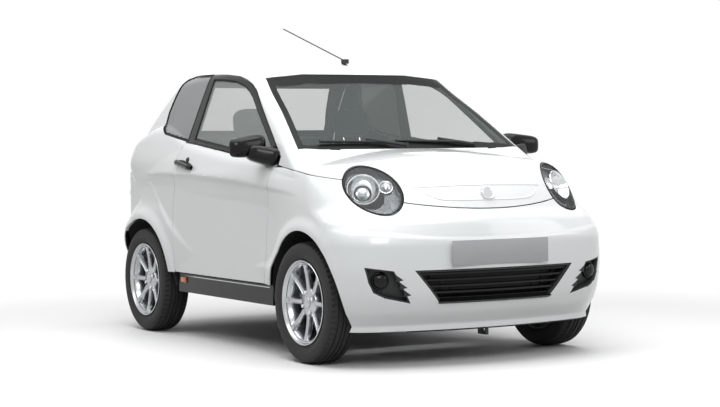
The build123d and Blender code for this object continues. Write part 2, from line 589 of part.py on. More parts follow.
# ------------------------------------------------------------------ running gear
STUB_R = 14
arms = []
knuckles = {}
for side, name in ((1, "left"), (-1, "right")):
    def at(x, y, z):
        return (FRONT_AXLE_X + x, side * y, z)
    parts = [rod(at(-150, 360, 225), at(0, 556, 192), 13), rod(at(150, 360, 225), at(0, 556, 192), 13)]
    boss = Pos(*at(0, KINGPIN_Y, 186)) * Cylinder(20, 24)
    parts.append(boss)
    parts.append(rod(at(0, 545, 186), at(0, KINGPIN_Y - 10, 186), 14))
    hole = Pos(*at(0, KINGPIN_Y, 186)) * Cylinder(8 + PIN_GAP, 60)
    arms.append(joined(parts) - hole - box(600, 1100, *sorted((side * 320, side * liner_y)), 180, 260))
    upright = box(FRONT_AXLE_X - 24, FRONT_AXLE_X + 24, *sorted((side * 572, side * 610)), 204, 350)
    upright = upright + Pos(*at(0, KINGPIN_Y, 188)) * Cylinder(8, 40)
    stub = rod(at(0, 600, TYRE_R), at(0, 690, TYRE_R), STUB_R)
    bracket = box(FRONT_AXLE_X - 18, FRONT_AXLE_X + 18, *sorted((side * 500, side * 580)), 300, 345)
    strut = rod(at(0, 522, 290), at(0, 522, 590), 24)
    spring = rod(at(0, 522, 400), at(0, 522, 570), 44)
    knuckles[name] = joined([upright, stub, bracket, strut, spring])
    save(f"knuckle_{name}", knuckles[name])
save("front_arms", arms)

ARM_X = -645
rear = [rod((REAR_AXLE_X, -572, TYRE_R), (REAR_AXLE_X, 572, TYRE_R), 20)]
rear.append(rod((REAR_AXLE_X, -690, TYRE_R), (REAR_AXLE_X, 690, TYRE_R), STUB_R))
for side in (1, -1):
    rear.append(rod((REAR_AXLE_X, side * 460, TYRE_R), (ARM_X, side * 460, 262), 18))
    rear.append(rod((ARM_X, side * 460, 262), (ARM_X, side * 386, 240), 14))
    rear.append(rod((REAR_AXLE_X - 30, side * 470, TYRE_R), (REAR_AXLE_X - 30, side * 470, 560), 24))
rear_gear = joined(rear) - box(-660, -600, -liner_y, liner_y, 180, 262)
save("rear_axle", rear_gear)

SPOKES = 8
rim_profile = [
    (186, 66), (RIM_FLANGE_R, 70), (RIM_FLANGE_R, 66), (178, 58), (178, 44), (166, 30), (166, -30), (178, -44),
    (178, -58), (RIM_FLANGE_R, -66), (RIM_FLANGE_R, -70), (172, -66), (160, -30), (160, 30), (170, 46),
]
tyre_profile = [
    (178.3, -57.7), (178.3, 57.7), (199, 63), (212, 71), (238, 77), (258, 75), (272, 66), (TYRE_R, 50), (TYRE_R, -50),
    (272, -66), (258, -75), (238, -77), (212, -71), (199, -63),
]
WHEELS = [("front_left", FRONT_AXLE_X, 1), ("front_right", FRONT_AXLE_X, -1)]
WHEELS = WHEELS + [("rear_left", REAR_AXLE_X, 1), ("rear_right", REAR_AXLE_X, -1)]
barrel = revolve(make_face(Polyline([(r, 0, y) for r, y in rim_profile], close=True)), Axis.Z, 360)
hub_boss = Pos(0, 0, 22) * Cylinder(46, 44) - Pos(0, 0, 0) * Cylinder(STUB_R + PIN_GAP, 80)
disc = Pos(0, 0, -18) * Cylinder(96, 10) - Pos(0, 0, -18) * Cylinder(50, 12)
hat = Pos(0, 0, -6) * Cylinder(54, 34) - Pos(0, 0, -8) * Cylinder(STUB_R + PIN_GAP, 60)
rim = joined([barrel, hub_boss, hat, disc])
for i in range(SPOKES):
    spoke = extrude(make_face(Polyline([(0, -13, 26), (0, 13, 26), (0, 9, 46), (0, -9, 46)], close=True)), 170, dir=(1, 0, 0))
    rim = rim + Rot(0, 0, 360 / SPOKES * i) * (spoke & Cylinder(169, 120))
rim = rim - Pos(0, 0, 0) * Cylinder(STUB_R + PIN_GAP, 86)
tyre = revolve(make_face(Polyline([(r, 0, y) for r, y in tyre_profile], close=True)), Axis.Z, 360)
for name, x, side in WHEELS:
    place = Pos(x, side * WHEEL_Y, TYRE_R) * Rot(-90 * side, 0, 0)
    save(f"rim_{name}", place * rim)
    save(f"tyre_{name}", place * tyre)

# ------------------------------------------------------------------ small outside pieces
near_skin = lower_body(-SEAT_GAP) + upper_body(-SEAT_GAP)
near_glass = (lower_body(-SEAT_GAP) & box(-1500, 1500, -900, 900, 0, 974.6)) + upper_body(GLASS_INSET - SEAT_GAP)
for side, name in ((1, "left"), (-1, "right")):
    housing = Pos(420, side * 815, 990) * Rot(0, 0, -side * 12) * Box(70, 120, 104)
    housing = fillet(housing.edges(), 24)
    stalk = rod((496, side * 660, 950), (430, side * 790, 972), 16)
    save(f"mirror_{name}", joined([housing, stalk]) - near_skin)
save("number_plates", plates)
aerial = joined([Pos(-14, 0, 1414) * Cylinder(20, 40), rod((-14, 0, 1426), (-686, 0, 1630), 3)])
save("aerial", aerial - near_skin)
muffler_z = beam_top + SEAT_GAP + 48
PIPE_X, PIPE_Z = -1236, 165
save("exhaust", joined([
    Pos(-1175, 0, muffler_z) * Rot(90, 0, 0) * Cylinder(48, 320),
    rod((PIPE_X, -130, muffler_z), (PIPE_X, -130, PIPE_Z - 10), 18),
    rod((PIPE_X, -130, PIPE_Z), (-1330, -130, PIPE_Z), 18),
]))
wipers = []
for y0, y1 in ((-60, -500), (350, -90)):
    wipers.append(joined([
        Pos(681 - y0 * y0 / 4728, y0, 975) * Cylinder(9, 60),
        rod((681 - y0 * y0 / 4728, y0, 992), (628, y0 * 0.55 + y1 * 0.45, 1021), 8),
        rod((648, y0 * 0.8 + y1 * 0.2, 1006), (628 - abs(y1) * 0.03, y1, 1013), 7),
    ]) - near_glass)
save("wipers", wipers)
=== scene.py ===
"""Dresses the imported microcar: smooth painted panels, glass, lamps, wheels and a trimmed cabin."""

import logging
import math
from dataclasses import dataclass
from enum import Enum
from typing import Callable, ClassVar

import bmesh
import bpy
import numpy as np
from mathutils import Matrix, Vector

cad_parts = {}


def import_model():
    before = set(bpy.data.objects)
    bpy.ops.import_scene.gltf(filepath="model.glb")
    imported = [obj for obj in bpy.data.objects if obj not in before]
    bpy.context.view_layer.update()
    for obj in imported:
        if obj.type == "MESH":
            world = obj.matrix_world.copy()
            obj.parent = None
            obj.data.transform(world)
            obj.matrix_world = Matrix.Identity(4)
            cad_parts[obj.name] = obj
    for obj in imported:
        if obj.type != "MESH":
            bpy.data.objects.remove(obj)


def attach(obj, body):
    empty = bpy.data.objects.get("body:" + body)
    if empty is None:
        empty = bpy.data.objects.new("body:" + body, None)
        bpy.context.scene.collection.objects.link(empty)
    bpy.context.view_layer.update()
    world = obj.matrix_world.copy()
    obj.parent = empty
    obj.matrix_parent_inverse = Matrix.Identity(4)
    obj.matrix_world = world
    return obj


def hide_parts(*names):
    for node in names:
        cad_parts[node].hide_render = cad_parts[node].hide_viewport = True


LOG = logging.getLogger("microcar")
BMesh = bmesh.types.BMesh
Points = list | tuple
Test = Callable
MIRROR = Matrix.Scale(-1, 4, (0, 1, 0))


class Side(Enum):
    """The car's two sides; the value is the sign of y."""

    LEFT = 1
    RIGHT = -1


# ------------------------------------------------------------------ materials
def srgb(code: str) -> tuple:
    """Turns a six-digit sRGB hex colour into linear RGBA.

    Args:
        code: six hex digits, with or without a leading #.

    Returns:
        A linear (r, g, b, 1) tuple.
    """
    code = code.lstrip("#")
    channels = [int(code[i:i + 2], 16) / 255 for i in (0, 2, 4)]
    return tuple(c / 12.92 if c <= 0.04045 else ((c + 0.055) / 1.055) ** 2.4 for c in channels) + (1.0,)


@dataclass(frozen=True)
class Finish:
    """One surface finish: a Principled shader with optional fine texture from noise."""

    name: str
    color: str
    roughness: float = 0.5
    metallic: float = 0.0
    coat: float = 0.0
    coat_roughness: float = 0.03
    alpha: float = 1.0
    ior: float = 1.5
    specular: float = 0.5
    sheen: float = 0.0
    grain_scale: float = 0.0
    grain_bump: float = 0.0
    grain_distance: float = 0.0005
    rough_spread: float = 0.0
    mottle: str = ""
    mottle_scale: float = 6.0
    weave: float = 0.0

    def build(self) -> bpy.types.Material:
        """Makes the Blender material.

        Returns:
            The new material.
        """
        mat = bpy.data.materials.new(self.name)
        mat.use_nodes = True
        tree = mat.node_tree
        shader = tree.nodes["Principled BSDF"]
        values = {
            "Base Color": srgb(self.color), "Roughness": self.roughness, "Metallic": self.metallic,
            "Coat Weight": self.coat, "Coat Roughness": self.coat_roughness, "IOR": self.ior,
            "Alpha": self.alpha, "Specular IOR Level": self.specular, "Sheen Weight": self.sheen,
        }
        for socket, value in values.items():
            shader.inputs[socket].default_value = value
        coords = add_node(tree, "ShaderNodeTexCoord")
        if self.grain_scale:
            grain = add_node(tree, "ShaderNodeTexNoise", Scale=self.grain_scale, Detail=3.0)
            tree.links.new(coords.outputs["Object"], grain.inputs["Vector"])
            height = grain.outputs["Fac"]
            if self.weave:
                height = self._weave(tree, coords)
            bump = add_node(tree, "ShaderNodeBump", Strength=self.grain_bump, Distance=self.grain_distance)
            tree.links.new(height, bump.inputs["Height"])
            tree.links.new(bump.outputs["Normal"], shader.inputs["Normal"])
            if self.rough_spread:
                spread = add_node(tree, "ShaderNodeMapRange")
                spread.inputs["To Min"].default_value = max(0.0, self.roughness - self.rough_spread)
                spread.inputs["To Max"].default_value = min(1.0, self.roughness + self.rough_spread)
                tree.links.new(grain.outputs["Fac"], spread.inputs["Value"])
                tree.links.new(spread.outputs["Result"], shader.inputs["Roughness"])
        if self.mottle:
            patch = add_node(tree, "ShaderNodeTexNoise", Scale=self.mottle_scale, Detail=4.0)
            tree.links.new(coords.outputs["Object"], patch.inputs["Vector"])
            mix = add_node(tree, "ShaderNodeMix", data_type="RGBA")
            for socket in mix.inputs:
                if socket.name == "A" and socket.type == "RGBA":
                    socket.default_value = srgb(self.color)
                if socket.name == "B" and socket.type == "RGBA":
                    socket.default_value = srgb(self.mottle)
            tree.links.new(patch.outputs["Fac"], mix.inputs["Factor"])
            result = next(s for s in mix.outputs if s.type == "RGBA")
            tree.links.new(result, shader.inputs["Base Color"])
        return mat

    def _weave(self, tree: bpy.types.NodeTree, coords: bpy.types.Node) -> bpy.types.NodeSocket:
        """Two crossed wave bands that read as woven threads.

        Args:
            tree: the node tree.
            coords: the coordinate node.

        Returns:
            The height socket.
        """
        bands = []
        for axis in ("X", "Z"):
            wave = add_node(tree, "ShaderNodeTexWave", Scale=self.weave, Distortion=0.4)
            wave.bands_direction = axis
            tree.links.new(coords.outputs["Object"], wave.inputs["Vector"])
            bands.append(wave.outputs["Fac"])
        both = add_node(tree, "ShaderNodeMath", operation="ADD")
        tree.links.new(bands[0], both.inputs[0])
        tree.links.new(bands[1], both.inputs[1])
        return both.outputs["Value"]


def add_node(tree: bpy.types.NodeTree, kind: str, operation: str | None = None, data_type: str | None = None,
             **inputs: object) -> bpy.types.Node:
    """Adds a node and sets its sockets by name.

    Args:
        tree: the node tree.
        kind: the node's type name.
        operation: the operation of a math node.
        data_type: the data type of a mix node.
        **inputs: socket name to value.

    Returns:
        The new node.
    """
    node = tree.nodes.new(kind)
    if operation:
        node.operation = operation
    if data_type:
        node.data_type = data_type
    for name, value in inputs.items():
        node.inputs[name].default_value = value
    return node


FINISHES = [
    # Solid white acrylic gel-coat panels under clear lacquer, with faint orange peel.
    Finish("white_lacquer", "#E9ECEC", 0.32, coat=0.9, coat_roughness=0.04, grain_scale=380, grain_bump=0.015,
           mottle="#E4E8E8", mottle_scale=3.0),
    # Grained black polypropylene of sills, arch liners and valances.
    Finish("black_polypropylene", "#17181A", 0.6, grain_scale=900, grain_bump=0.25, rough_spread=0.12),
    # Gloss black acrylic of mirror housings and lamp surrounds.
    Finish("gloss_black_abs", "#080808", 0.16, coat=0.04, specular=0.22, grain_scale=300, grain_bump=0.01,
           mottle="#0E0E0F"),
    # EPDM rubber of seals and window channels.
    Finish("epdm_seal", "#101011", 0.7, grain_scale=1200, grain_bump=0.2, rough_spread=0.1),
    # Lightly tinted float glass with its dark edge; its pale base colour, shaded like a matt surface, is a painted
    # haze reflection.
    Finish("tinted_glass_painted_haze", "#D2DAD8", 0.02, alpha=0.26, ior=1.5, specular=0.3, mottle="#CCD5D2"),
    # Laminated windscreen glass, clearer than the side glass; its pale base colour, shaded like a matt surface, is a
    # painted haze reflection.
    Finish("laminated_glass_painted_haze", "#AEB8B6", 0.02, alpha=0.10, ior=1.5, specular=0.2, mottle="#A8B2B0"),
    # Grey privacy glass of the rear quarter windows.
    Finish("privacy_glass", "#9A9D9E", 0.05, alpha=0.86, ior=1.5, specular=0.3, mottle="#949798"),
    # Black ceramic frit printed on the glass edge.
    Finish("ceramic_frit", "#0B0C0D", 0.30, specular=0.10, grain_scale=600, grain_bump=0.02, mottle="#0F1011"),
    # Clear polycarbonate lamp covers.
    Finish("clear_polycarbonate", "#DDE3E4", 0.03, alpha=0.05, ior=1.58, specular=0.5, mottle="#D5DBDD"),
    # Vapour-plated reflectors and lamp rings.
    Finish("plated_reflector", "#D9DCDD", 0.14, metallic=1.0, grain_scale=60, grain_bump=0.03, rough_spread=0.05),
    # Satin grey lamp bezel.
    Finish("satin_bezel", "#6C6F73", 0.26, metallic=0.8, grain_scale=90, grain_bump=0.03, rough_spread=0.08,
           mottle="#3A3D40"),
    # Silver-lacquered cast aluminium of the road wheels.
    Finish("silver_alloy", "#B2B5B7", 0.24, metallic=0.92, coat=0.4, grain_scale=700, grain_bump=0.03,
           rough_spread=0.06),
    # Turned cast-iron brake discs.
    Finish("turned_iron", "#77787A", 0.35, metallic=1.0, grain_scale=200, grain_bump=0.08, rough_spread=0.1,
           mottle="#5F5C58"),
    # Painted steel of arms, axles and the frame.
    Finish("chassis_paint", "#1D1E20", 0.5, grain_scale=250, grain_bump=0.12, rough_spread=0.12, mottle="#26241F"),
    # Anodised aluminium frame rails.
    Finish("mill_aluminium", "#9FA2A4", 0.42, metallic=1.0, grain_scale=120, grain_bump=0.1, rough_spread=0.1),
    # Carbon-black tyre tread and sidewall rubber.
    Finish("tyre_rubber", "#161617", 0.74, grain_scale=500, grain_bump=0.2, rough_spread=0.1, mottle="#1D1C1B"),
    # Charcoal seat cloth, woven.
    Finish("seat_cloth", "#2B2D31", 0.92, sheen=0.3, grain_scale=300, grain_bump=0.5, weave=180, mottle="#34373C"),
    # Coated fabric of the seat bolsters, smooth and a little shiny.
    Finish("bolster_cloth", "#1F2023", 0.78, grain_scale=700, grain_bump=0.10, rough_spread=0.08, mottle="#18191B"),
    # Soft-touch dashboard and door trim skin.
    Finish("trim_skin", "#3A3C3F", 0.66, grain_scale=700, grain_bump=0.35, rough_spread=0.1, mottle="#333538"),
    # Amber marker and indicator plastic.
    Finish("amber_lens", "#D9701A", 0.15, coat=0.6, grain_scale=200, grain_bump=0.02, mottle="#C96310"),
    # Red acrylic tail lamps.
    Finish("red_lens", "#8E1015", 0.12, coat=0.7, grain_scale=200, grain_bump=0.02, mottle="#7E0C12"),
    # Reflective white plate sheet.
    Finish("plate_sheet", "#AEB0B2", 0.45, coat=0.2, grain_scale=900, grain_bump=0.05, mottle="#A6A8AB"),
    # Rough cast block of engine and gearbox.
    Finish("cast_block", "#3B3C3E", 0.7, metallic=0.4, grain_scale=160, grain_bump=0.4, rough_spread=0.1,
           mottle="#2F2E2C"),
    # Light grey moulded headlining.
    Finish("headlining", "#A8A9A6", 0.9, sheen=0.2, grain_scale=600, grain_bump=0.3, mottle="#9E9F9C"),
]


# ------------------------------------------------------------------ outlines shared by the panels
SIDE_BOTTOM = 0.338
WHEEL_Z = 0.278
FRONT_X = 0.833
REAR_X = -0.963
ARCH_R = 0.330
NOSE = 1.376
TAIL = -1.379
DOOR_FRONT = [(0.431, SIDE_BOTTOM), (0.470, 0.670), (0.522, 0.893), (0.546, 0.942)]
DOOR_REAR = [(-0.514, 1.018), (-0.562, 0.904), (-0.615, 0.620), (-0.584, SIDE_BOTTOM)]
DOOR_HEAD = [(0.105, 1.267), (0.045, 1.298), (-0.030, 1.325), (-0.127, 1.346), (-0.263, 1.359), (-0.437, 1.366)]
BELT_FRONT, BELT_REAR = (0.546, 0.905), (-0.514, 1.018)
WINDOW = [(-0.436, 1.028), (-0.388, 1.340), (-0.263, 1.335), (-0.127, 1.322), (-0.035, 1.301), (0.035, 1.272)]
WINDOW = WINDOW + [(0.090, 1.240), (0.452, 0.978), (0.446, 0.932)]
BONNET_EDGE = [(1.5, 0.690), (1.312, 0.701), (1.215, 0.734), (1.150, 0.784), (1.100, 0.826), (0.600, 0.893)]
BONNET = BONNET_EDGE + [(0.500, 0.906), (0.500, 1.100), (1.5, 1.100)]
WING_SEAM = [(1.150, 0.784), (1.103, 0.736), (1.072, 0.684), (1.061, 0.636), (1.039, 0.574), (1.020, 0.530)]
WING = WING_SEAM + [(0.940, 0.470), (0.833, 0.430), (0.640, SIDE_BOTTOM)]
WING = WING + DOOR_FRONT[:3] + [(0.600, 0.893), (1.100, 0.826)]
FRONT_BUMPER = [(1.5, 0.690), (1.312, 0.701), (1.215, 0.734)] + WING_SEAM + [(0.940, 0.470)]
FRONT_BUMPER = FRONT_BUMPER + [(0.900, 0.430), (1.000, 0.150), (1.5, 0.150)]
REAR_BUMPER = [(-1.5, 0.15), (-1.5, 0.600), (-1.215, 0.600), (-1.160, 0.520), (-1.060, 0.400), (-1.160, 0.15)]
QUARTER = [(-0.615, 0.620), (-0.562, 0.904), (-0.514, 1.018), (-0.437, 1.366), (-0.800, 1.376), (-1.5, 1.376)]
QUARTER = QUARTER + [(-1.5, 0.600), (-1.215, 0.600), (-1.160, 0.520), (-0.963, 0.430), (-0.700, SIDE_BOTTOM)]
QUARTER = QUARTER + [(-0.584, SIDE_BOTTOM)]
QUARTER_REAR = [(-0.780, 1.352), (-0.812, 1.325), (-0.842, 1.266), (-0.868, 1.181), (-0.862, 1.106), (-0.778, 1.062)]
QUARTER_FRAME = [(-0.5175, 1.021), (-0.4405, 1.3655), (-0.676, 1.366)] + QUARTER_REAR
QUARTER_HOLE = [(-0.490, 1.0145), (-0.420, 1.400), (-0.676, 1.400)] + QUARTER_REAR
TAILGATE = [(0.470, 1.420), (0.552, 1.130), (0.585, 1.000), (0.575, 0.850), (0.560, 0.604)]
TAILGATE_GLASS = [(0.424, 1.338), (0.512, 1.130), (0.526, 1.060)]
TAILGATE_FRONT_X = -0.803
WINDSCREEN = [(0.623, 0.974), (0.504, 1.332), (0.300, 1.352)]
INTAKE = [(0.428, 0.440), (0.293, 0.286)]
FOG_RECESS = [(0.523, 0.440), (0.433, 0.292), (0.552, 0.319), (0.604, 0.345), (0.626, 0.391), (0.642, 0.458)]
LAMP = (0.508, 0.790, 0.110)
LAMP_MARGIN = 0.003
LINING_MARGIN = 0.022
TAIL_LAMP = (0.640, 0.745, 0.058)
BONNET_REAR = (0.712, 2.364)
BONNET_ARM = [(0.592, 0.972), (0.592, 0.962), (0.652, 0.838), (0.664, 0.838), (0.776, 0.908), (0.776, 0.922),
              (0.764, 0.922), (0.762, 0.916), (0.662, 0.852), (0.608, 0.966), (0.606, 0.974)]
ARM_SLOT = [(0.560, 0.418), (0.700, 0.418), (0.700, 0.472), (0.560, 0.472)]
TAILGATE_STRAP = [(-0.770, 1.366), (-0.770, 1.378), (-0.812, 1.374), (-0.836, 1.352), (-0.830, 1.338),
                  (-0.810, 1.358)]


def both(points: Points) -> list:
    """Closes a rear-view outline by adding its mirror image."""
    return list(points) + [(-y, z) for y, z in reversed(points)]


def circle(centre: tuple, radius: float, count: int = 48) -> list:
    """Points of a circle, for cutting a round opening."""
    return [(centre[0] + radius * math.cos(2 * math.pi * i / count),
             centre[1] + radius * math.sin(2 * math.pi * i / count)) for i in range(count)]


def arch_hole(x: float) -> tuple:
    """Cut for trim() of the wheel arch at x."""
    return circle((x, WHEEL_Z), ARCH_R, 96), "y", False, None


def lamp_hole(s: int = 1, margin: float = LAMP_MARGIN, behind: float = 0.96) -> tuple:
    """Cut for trim() of one headlamp's opening.

    Args:
        s: sign of the side.
        margin: how much larger than the lamp it is.
        behind: x below which nothing is cut.

    Returns:
        The outline, its axis, the side to keep and the limit.
    """
    return circle((s * LAMP[0], LAMP[1]), LAMP[2] + margin), "x", False, lambda c: c[0] > behind


def drawn_back(points: Points, gap: float) -> list:
    """Moves every edge of a closed outline inward.

    Args:
        points: corners of the outline.
        gap: distance in metres; a negative one moves the edges outward.

    Returns:
        The corners of the new outline.
    """
    n = len(points)
    area = sum(points[i][0] * points[(i + 1) % n][1] - points[(i + 1) % n][0] * points[i][1] for i in range(n))
    turn = 1 if area > 0 else -1
    lines = []
    for i in range(n):
        (x0, z0), (x1, z1) = points[i], points[(i + 1) % n]
        size = math.hypot(x1 - x0, z1 - z0)
        ux, uz = (x1 - x0) / size, (z1 - z0) / size
        lines.append((x0 - turn * uz * gap, z0 + turn * ux * gap, ux, uz))
    out = []
    for i in range(n):
        ax, az, aux, auz = lines[i - 1]
        bx, bz, bux, buz = lines[i]
        cross = aux * buz - auz * bux
        if abs(cross) < 1e-3:
            out.append((bx, bz))
            continue
        t = ((bx - ax) * buz - (bz - az) * bux) / cross
        out.append((ax + t * aux, az + t * auz))
    return out


# ------------------------------------------------------------------ body surface
def smooth_curve(xs: list | np.ndarray, ys: list | np.ndarray, x: np.ndarray) -> np.ndarray:
    """Shape-keeping cubic through a short table.

    Args:
        xs: rising positions.
        ys: one value per position.
        x: array of positions to read.

    Returns:
        Array of values.
    """
    xs, ys = np.asarray(xs, float), np.asarray(ys, float)
    h = np.diff(xs)
    d = np.diff(ys) / h
    m = np.zeros(len(xs))
    m[0], m[-1] = d[0], d[-1]
    same = d[:-1] * d[1:] > 0
    w1, w2 = 2 * h[1:] + h[:-1], h[1:] + 2 * h[:-1]
    inner = np.zeros(len(xs) - 2)
    inner[same] = (w1 + w2)[same] / (w1[same] / d[:-1][same] + w2[same] / d[1:][same])
    m[1:-1] = inner
    x = np.clip(x, xs[0], xs[-1])
    i = np.clip(np.searchsorted(xs, x) - 1, 0, len(xs) - 2)
    t = (x - xs[i]) / h[i]
    return ((1 + 2 * t) * (1 - t) ** 2 * ys[i] + t * (1 - t) ** 2 * h[i] * m[i]
            + t * t * (3 - 2 * t) * ys[i + 1] + t * t * (t - 1) * h[i] * m[i + 1])


def rounded(a: np.ndarray, b: np.ndarray, r: float | np.ndarray) -> np.ndarray:
    """Joins two outside distances with a fillet of radius r."""
    return np.hypot(np.maximum(a + r, 0), np.maximum(b + r, 0)) + np.minimum(np.maximum(a, b) + r, 0) - r


@dataclass
class Outlines:
    """Plan outlines of a body part by height.

    Each row holds height, nose, nose bow radius, front half width, front corner radius, middle half
    width, rear half width, rear corner radius, tail and tail bow radius.
    """

    rows: list
    reach_front: float
    reach_rear: float

    def distance(self, x: np.ndarray, y: np.ndarray, z: np.ndarray, swell: Callable | None = None) -> np.ndarray:
        """Distance outside the outline at each point's height.

        Args:
            x: lengthwise places.
            y: crosswise places.
            z: heights.
            swell: what stands off the plain side.

        Returns:
            Distances, negative inside.
        """
        table = np.array(self.rows)
        nose, bow_f, half_f, r_f, half_m, half_r, r_r, tail, bow_r = (
            smooth_curve(table[:, 0], table[:, k], z) for k in range(1, 10))
        y = np.abs(y)
        xf, xr = nose - self.reach_front, tail + self.reach_rear
        xm = (xf + xr) / 2
        t = (x - xm) / (xf - xm)
        half = half_m + np.where(t > 0, half_f - half_m, half_r - half_m) * np.minimum(t * t, 1.3)
        if swell is not None:
            half = half + swell(x, z, half)
        side = y - half
        front = x - (nose - y * y / (2 * bow_f))
        rear = (tail + y * y / (2 * bow_r)) - x
        return np.where(x > xm, rounded(side, front, r_f), rounded(side, rear, r_r))


class BodyForm:
    """The smooth outer surface, as a field that is negative inside."""

    LOWER = Outlines([
        (0.190, NOSE - 0.092, 2.0, 0.716, 0.200, 0.660, 0.690, 0.150, TAIL + 0.090, 2.2),
        (0.260, NOSE - 0.042, 2.1, 0.733, 0.206, 0.682, 0.730, 0.140, TAIL + 0.036, 2.3),
        (0.350, NOSE - 0.012, 2.2, 0.741, 0.212, 0.696, 0.744, 0.135, TAIL + 0.010, 2.4),
        (0.440, NOSE - 0.003, 2.3, 0.743, 0.216, 0.703, 0.747, 0.135, TAIL + 0.002, 2.5),
        (0.545, NOSE, 2.3, 0.738, 0.220, 0.707, 0.745, 0.150, TAIL, 2.5),
        (0.640, NOSE - 0.019, 1.7, 0.731, 0.212, 0.710, 0.728, 0.190, TAIL + 0.020, 2.2),
        (0.705, NOSE - 0.068, 1.2, 0.722, 0.200, 0.716, 0.706, 0.200, TAIL + 0.046, 2.0),
        (0.765, NOSE - 0.104, 1.08, 0.710, 0.176, 0.724, 0.702, 0.145, TAIL + 0.054, 1.9),
        (0.830, NOSE - 0.155, 1.03, 0.694, 0.152, 0.725, 0.716, 0.090, TAIL + 0.046, 1.8),
        (0.900, NOSE - 0.229, 1.0, 0.668, 0.130, 0.710, 0.722, 0.065, TAIL + 0.045, 1.7),
        (1.010, NOSE - 0.379, 1.0, 0.622, 0.120, 0.678, 0.700, 0.070, TAIL + 0.082, 1.6),
        (1.190, NOSE - 0.640, 1.0, 0.540, 0.120, 0.610, 0.630, 0.070, TAIL + 0.190, 1.6),
    ], 0.27, 0.27)
    UPPER = Outlines([
        (0.850, 0.885, 4.0, 0.700, 0.07, 0.710, 0.700, 0.06, -1.338, 2.5),
        (1.000, 0.645, 4.0, 0.652, 0.07, 0.666, 0.662, 0.06, -1.256, 2.5),
        (1.150, 0.410, 4.0, 0.608, 0.07, 0.622, 0.613, 0.06, -1.143, 2.3),
        (1.270, 0.208, 3.6, 0.570, 0.07, 0.586, 0.575, 0.06, -1.012, 2.1),
        (1.350, 0.094, 3.3, 0.540, 0.07, 0.560, 0.549, 0.06, -0.912, 2.0),
        (1.460, -0.062, 3.0, 0.500, 0.07, 0.520, 0.510, 0.06, -0.762, 1.9),
    ], 0.14, 0.18)
    DECK = [(-1.5, 0.946), (-1.31, 1.012), (-0.85, 1.170), (-0.47, 1.089), (0.60, 0.982), (1.01, 0.945),
            (1.18, 0.892), (1.5, 0.560)]
    DECK_CROWN = 3.2
    DECK_EDGE = 0.030
    ROOF_CREST = (-0.400, 1.432)
    ROOF_ARC = 3.6
    ROOF_CROWN = 2.7
    ROOF_EDGE = 0.042

    @staticmethod
    def swell(x: np.ndarray, z: np.ndarray, half: np.ndarray) -> np.ndarray:
        """How far the wheel lips, the waist crease and the door's hollow stand off the plain side.

        Args:
            x: lengthwise places.
            z: heights.
            half: half width of the plain side.

        Returns:
            Offsets in metres.
        """
        out = np.zeros_like(x)
        for cx in (FRONT_X, REAR_X):
            r = np.hypot(x - cx, z - WHEEL_Z)
            t = np.clip((0.402 - r) / 0.062, 0, 1)
            out = out + np.clip(0.742 - half, 0.003, 0.016) * t * t * (3 - 2 * t)
        dx = x - 0.06
        crease = 0.8225 - 0.057 * dx - 0.032 * dx * dx
        ridge = 0.402 + 0.235 * np.maximum(0.28 - x, 0) ** 3.5 + 0.05 * np.maximum(x - 0.10, 0)
        fade = np.clip((0.80 - x) / 0.35, 0, 1) * np.clip((x + 0.95) / 0.30, 0, 1)
        t = (crease - z) / np.maximum(crease - ridge, 0.05)
        hollow = np.interp(t, [-0.40, -0.025, 0.025, 0.30, 0.78, 1.00, 1.30],
                           [0.0, 0.42, -0.32, -0.62, -1.0, 0.15, 0.0])
        return out + fade * 0.021 * hollow

    def lower(self, x: np.ndarray, y: np.ndarray, z: np.ndarray) -> np.ndarray:
        """Field of everything below the belt, the bonnet and the rear shoulder.

        Args:
            x: lengthwise places.
            y: crosswise places.
            z: heights.

        Returns:
            Distances, negative inside.
        """
        deck = np.array(self.DECK)
        top = smooth_curve(deck[:, 0], deck[:, 1], x) - y * y / (2 * self.DECK_CROWN)
        fold = 0.566 + 0.09 * y * y
        ledge = np.clip((z - fold) / 0.012, 0, 1) * np.clip((0.72 - z) / 0.11, 0, 1) * np.clip((x - 1.0) / 0.15, 0, 1)
        return rounded(self.LOWER.distance(x + 0.0055 * ledge, y, z, self.swell), (z - top) * 0.85, self.DECK_EDGE)

    def upper(self, x: np.ndarray, y: np.ndarray, z: np.ndarray) -> np.ndarray:
        """Field of the greenhouse.

        Args:
            x: lengthwise places.
            y: crosswise places.
            z: heights.

        Returns:
            Distances, negative inside.
        """
        dx = x - self.ROOF_CREST[0]
        top = self.ROOF_CREST[1] + np.sqrt(self.ROOF_ARC ** 2 - dx ** 2) - self.ROOF_ARC
        return rounded(self.UPPER.distance(x, y, z), z - top + y * y / (2 * self.ROOF_CROWN), self.ROOF_EDGE)

    def field(self, points: np.ndarray) -> np.ndarray:
        """Field of the whole body at an (n, 3) array of points."""
        x, y, z = points.T
        return np.minimum(self.lower(x, y, z), self.upper(x, y, z))

    def hit(self, origins: np.ndarray, directions: np.ndarray, reach: float = 1.9) -> np.ndarray:
        """Follows rays from inside to the surface.

        Args:
            origins: (n, 3) points inside the body.
            directions: (n, 3) unit vectors.
            reach: how far outside the search starts.

        Returns:
            (n, 3) points on the surface.
        """
        lo, hi = np.zeros(len(origins)), np.full(len(origins), reach)
        steps = np.linspace(0, reach, 40)[1:]
        found = np.zeros(len(origins), bool)
        for s in steps:
            out = (self.field(origins + directions * s) > 0) & ~found
            hi[out], lo[out] = s, s - steps[0]
            found |= out
        for _ in range(16):
            mid = (lo + hi) / 2
            out = self.field(origins + directions * mid[:, None]) > 0
            hi = np.where(out, mid, hi)
            lo = np.where(out, lo, mid)
        return origins + directions * ((lo + hi) / 2)[:, None]


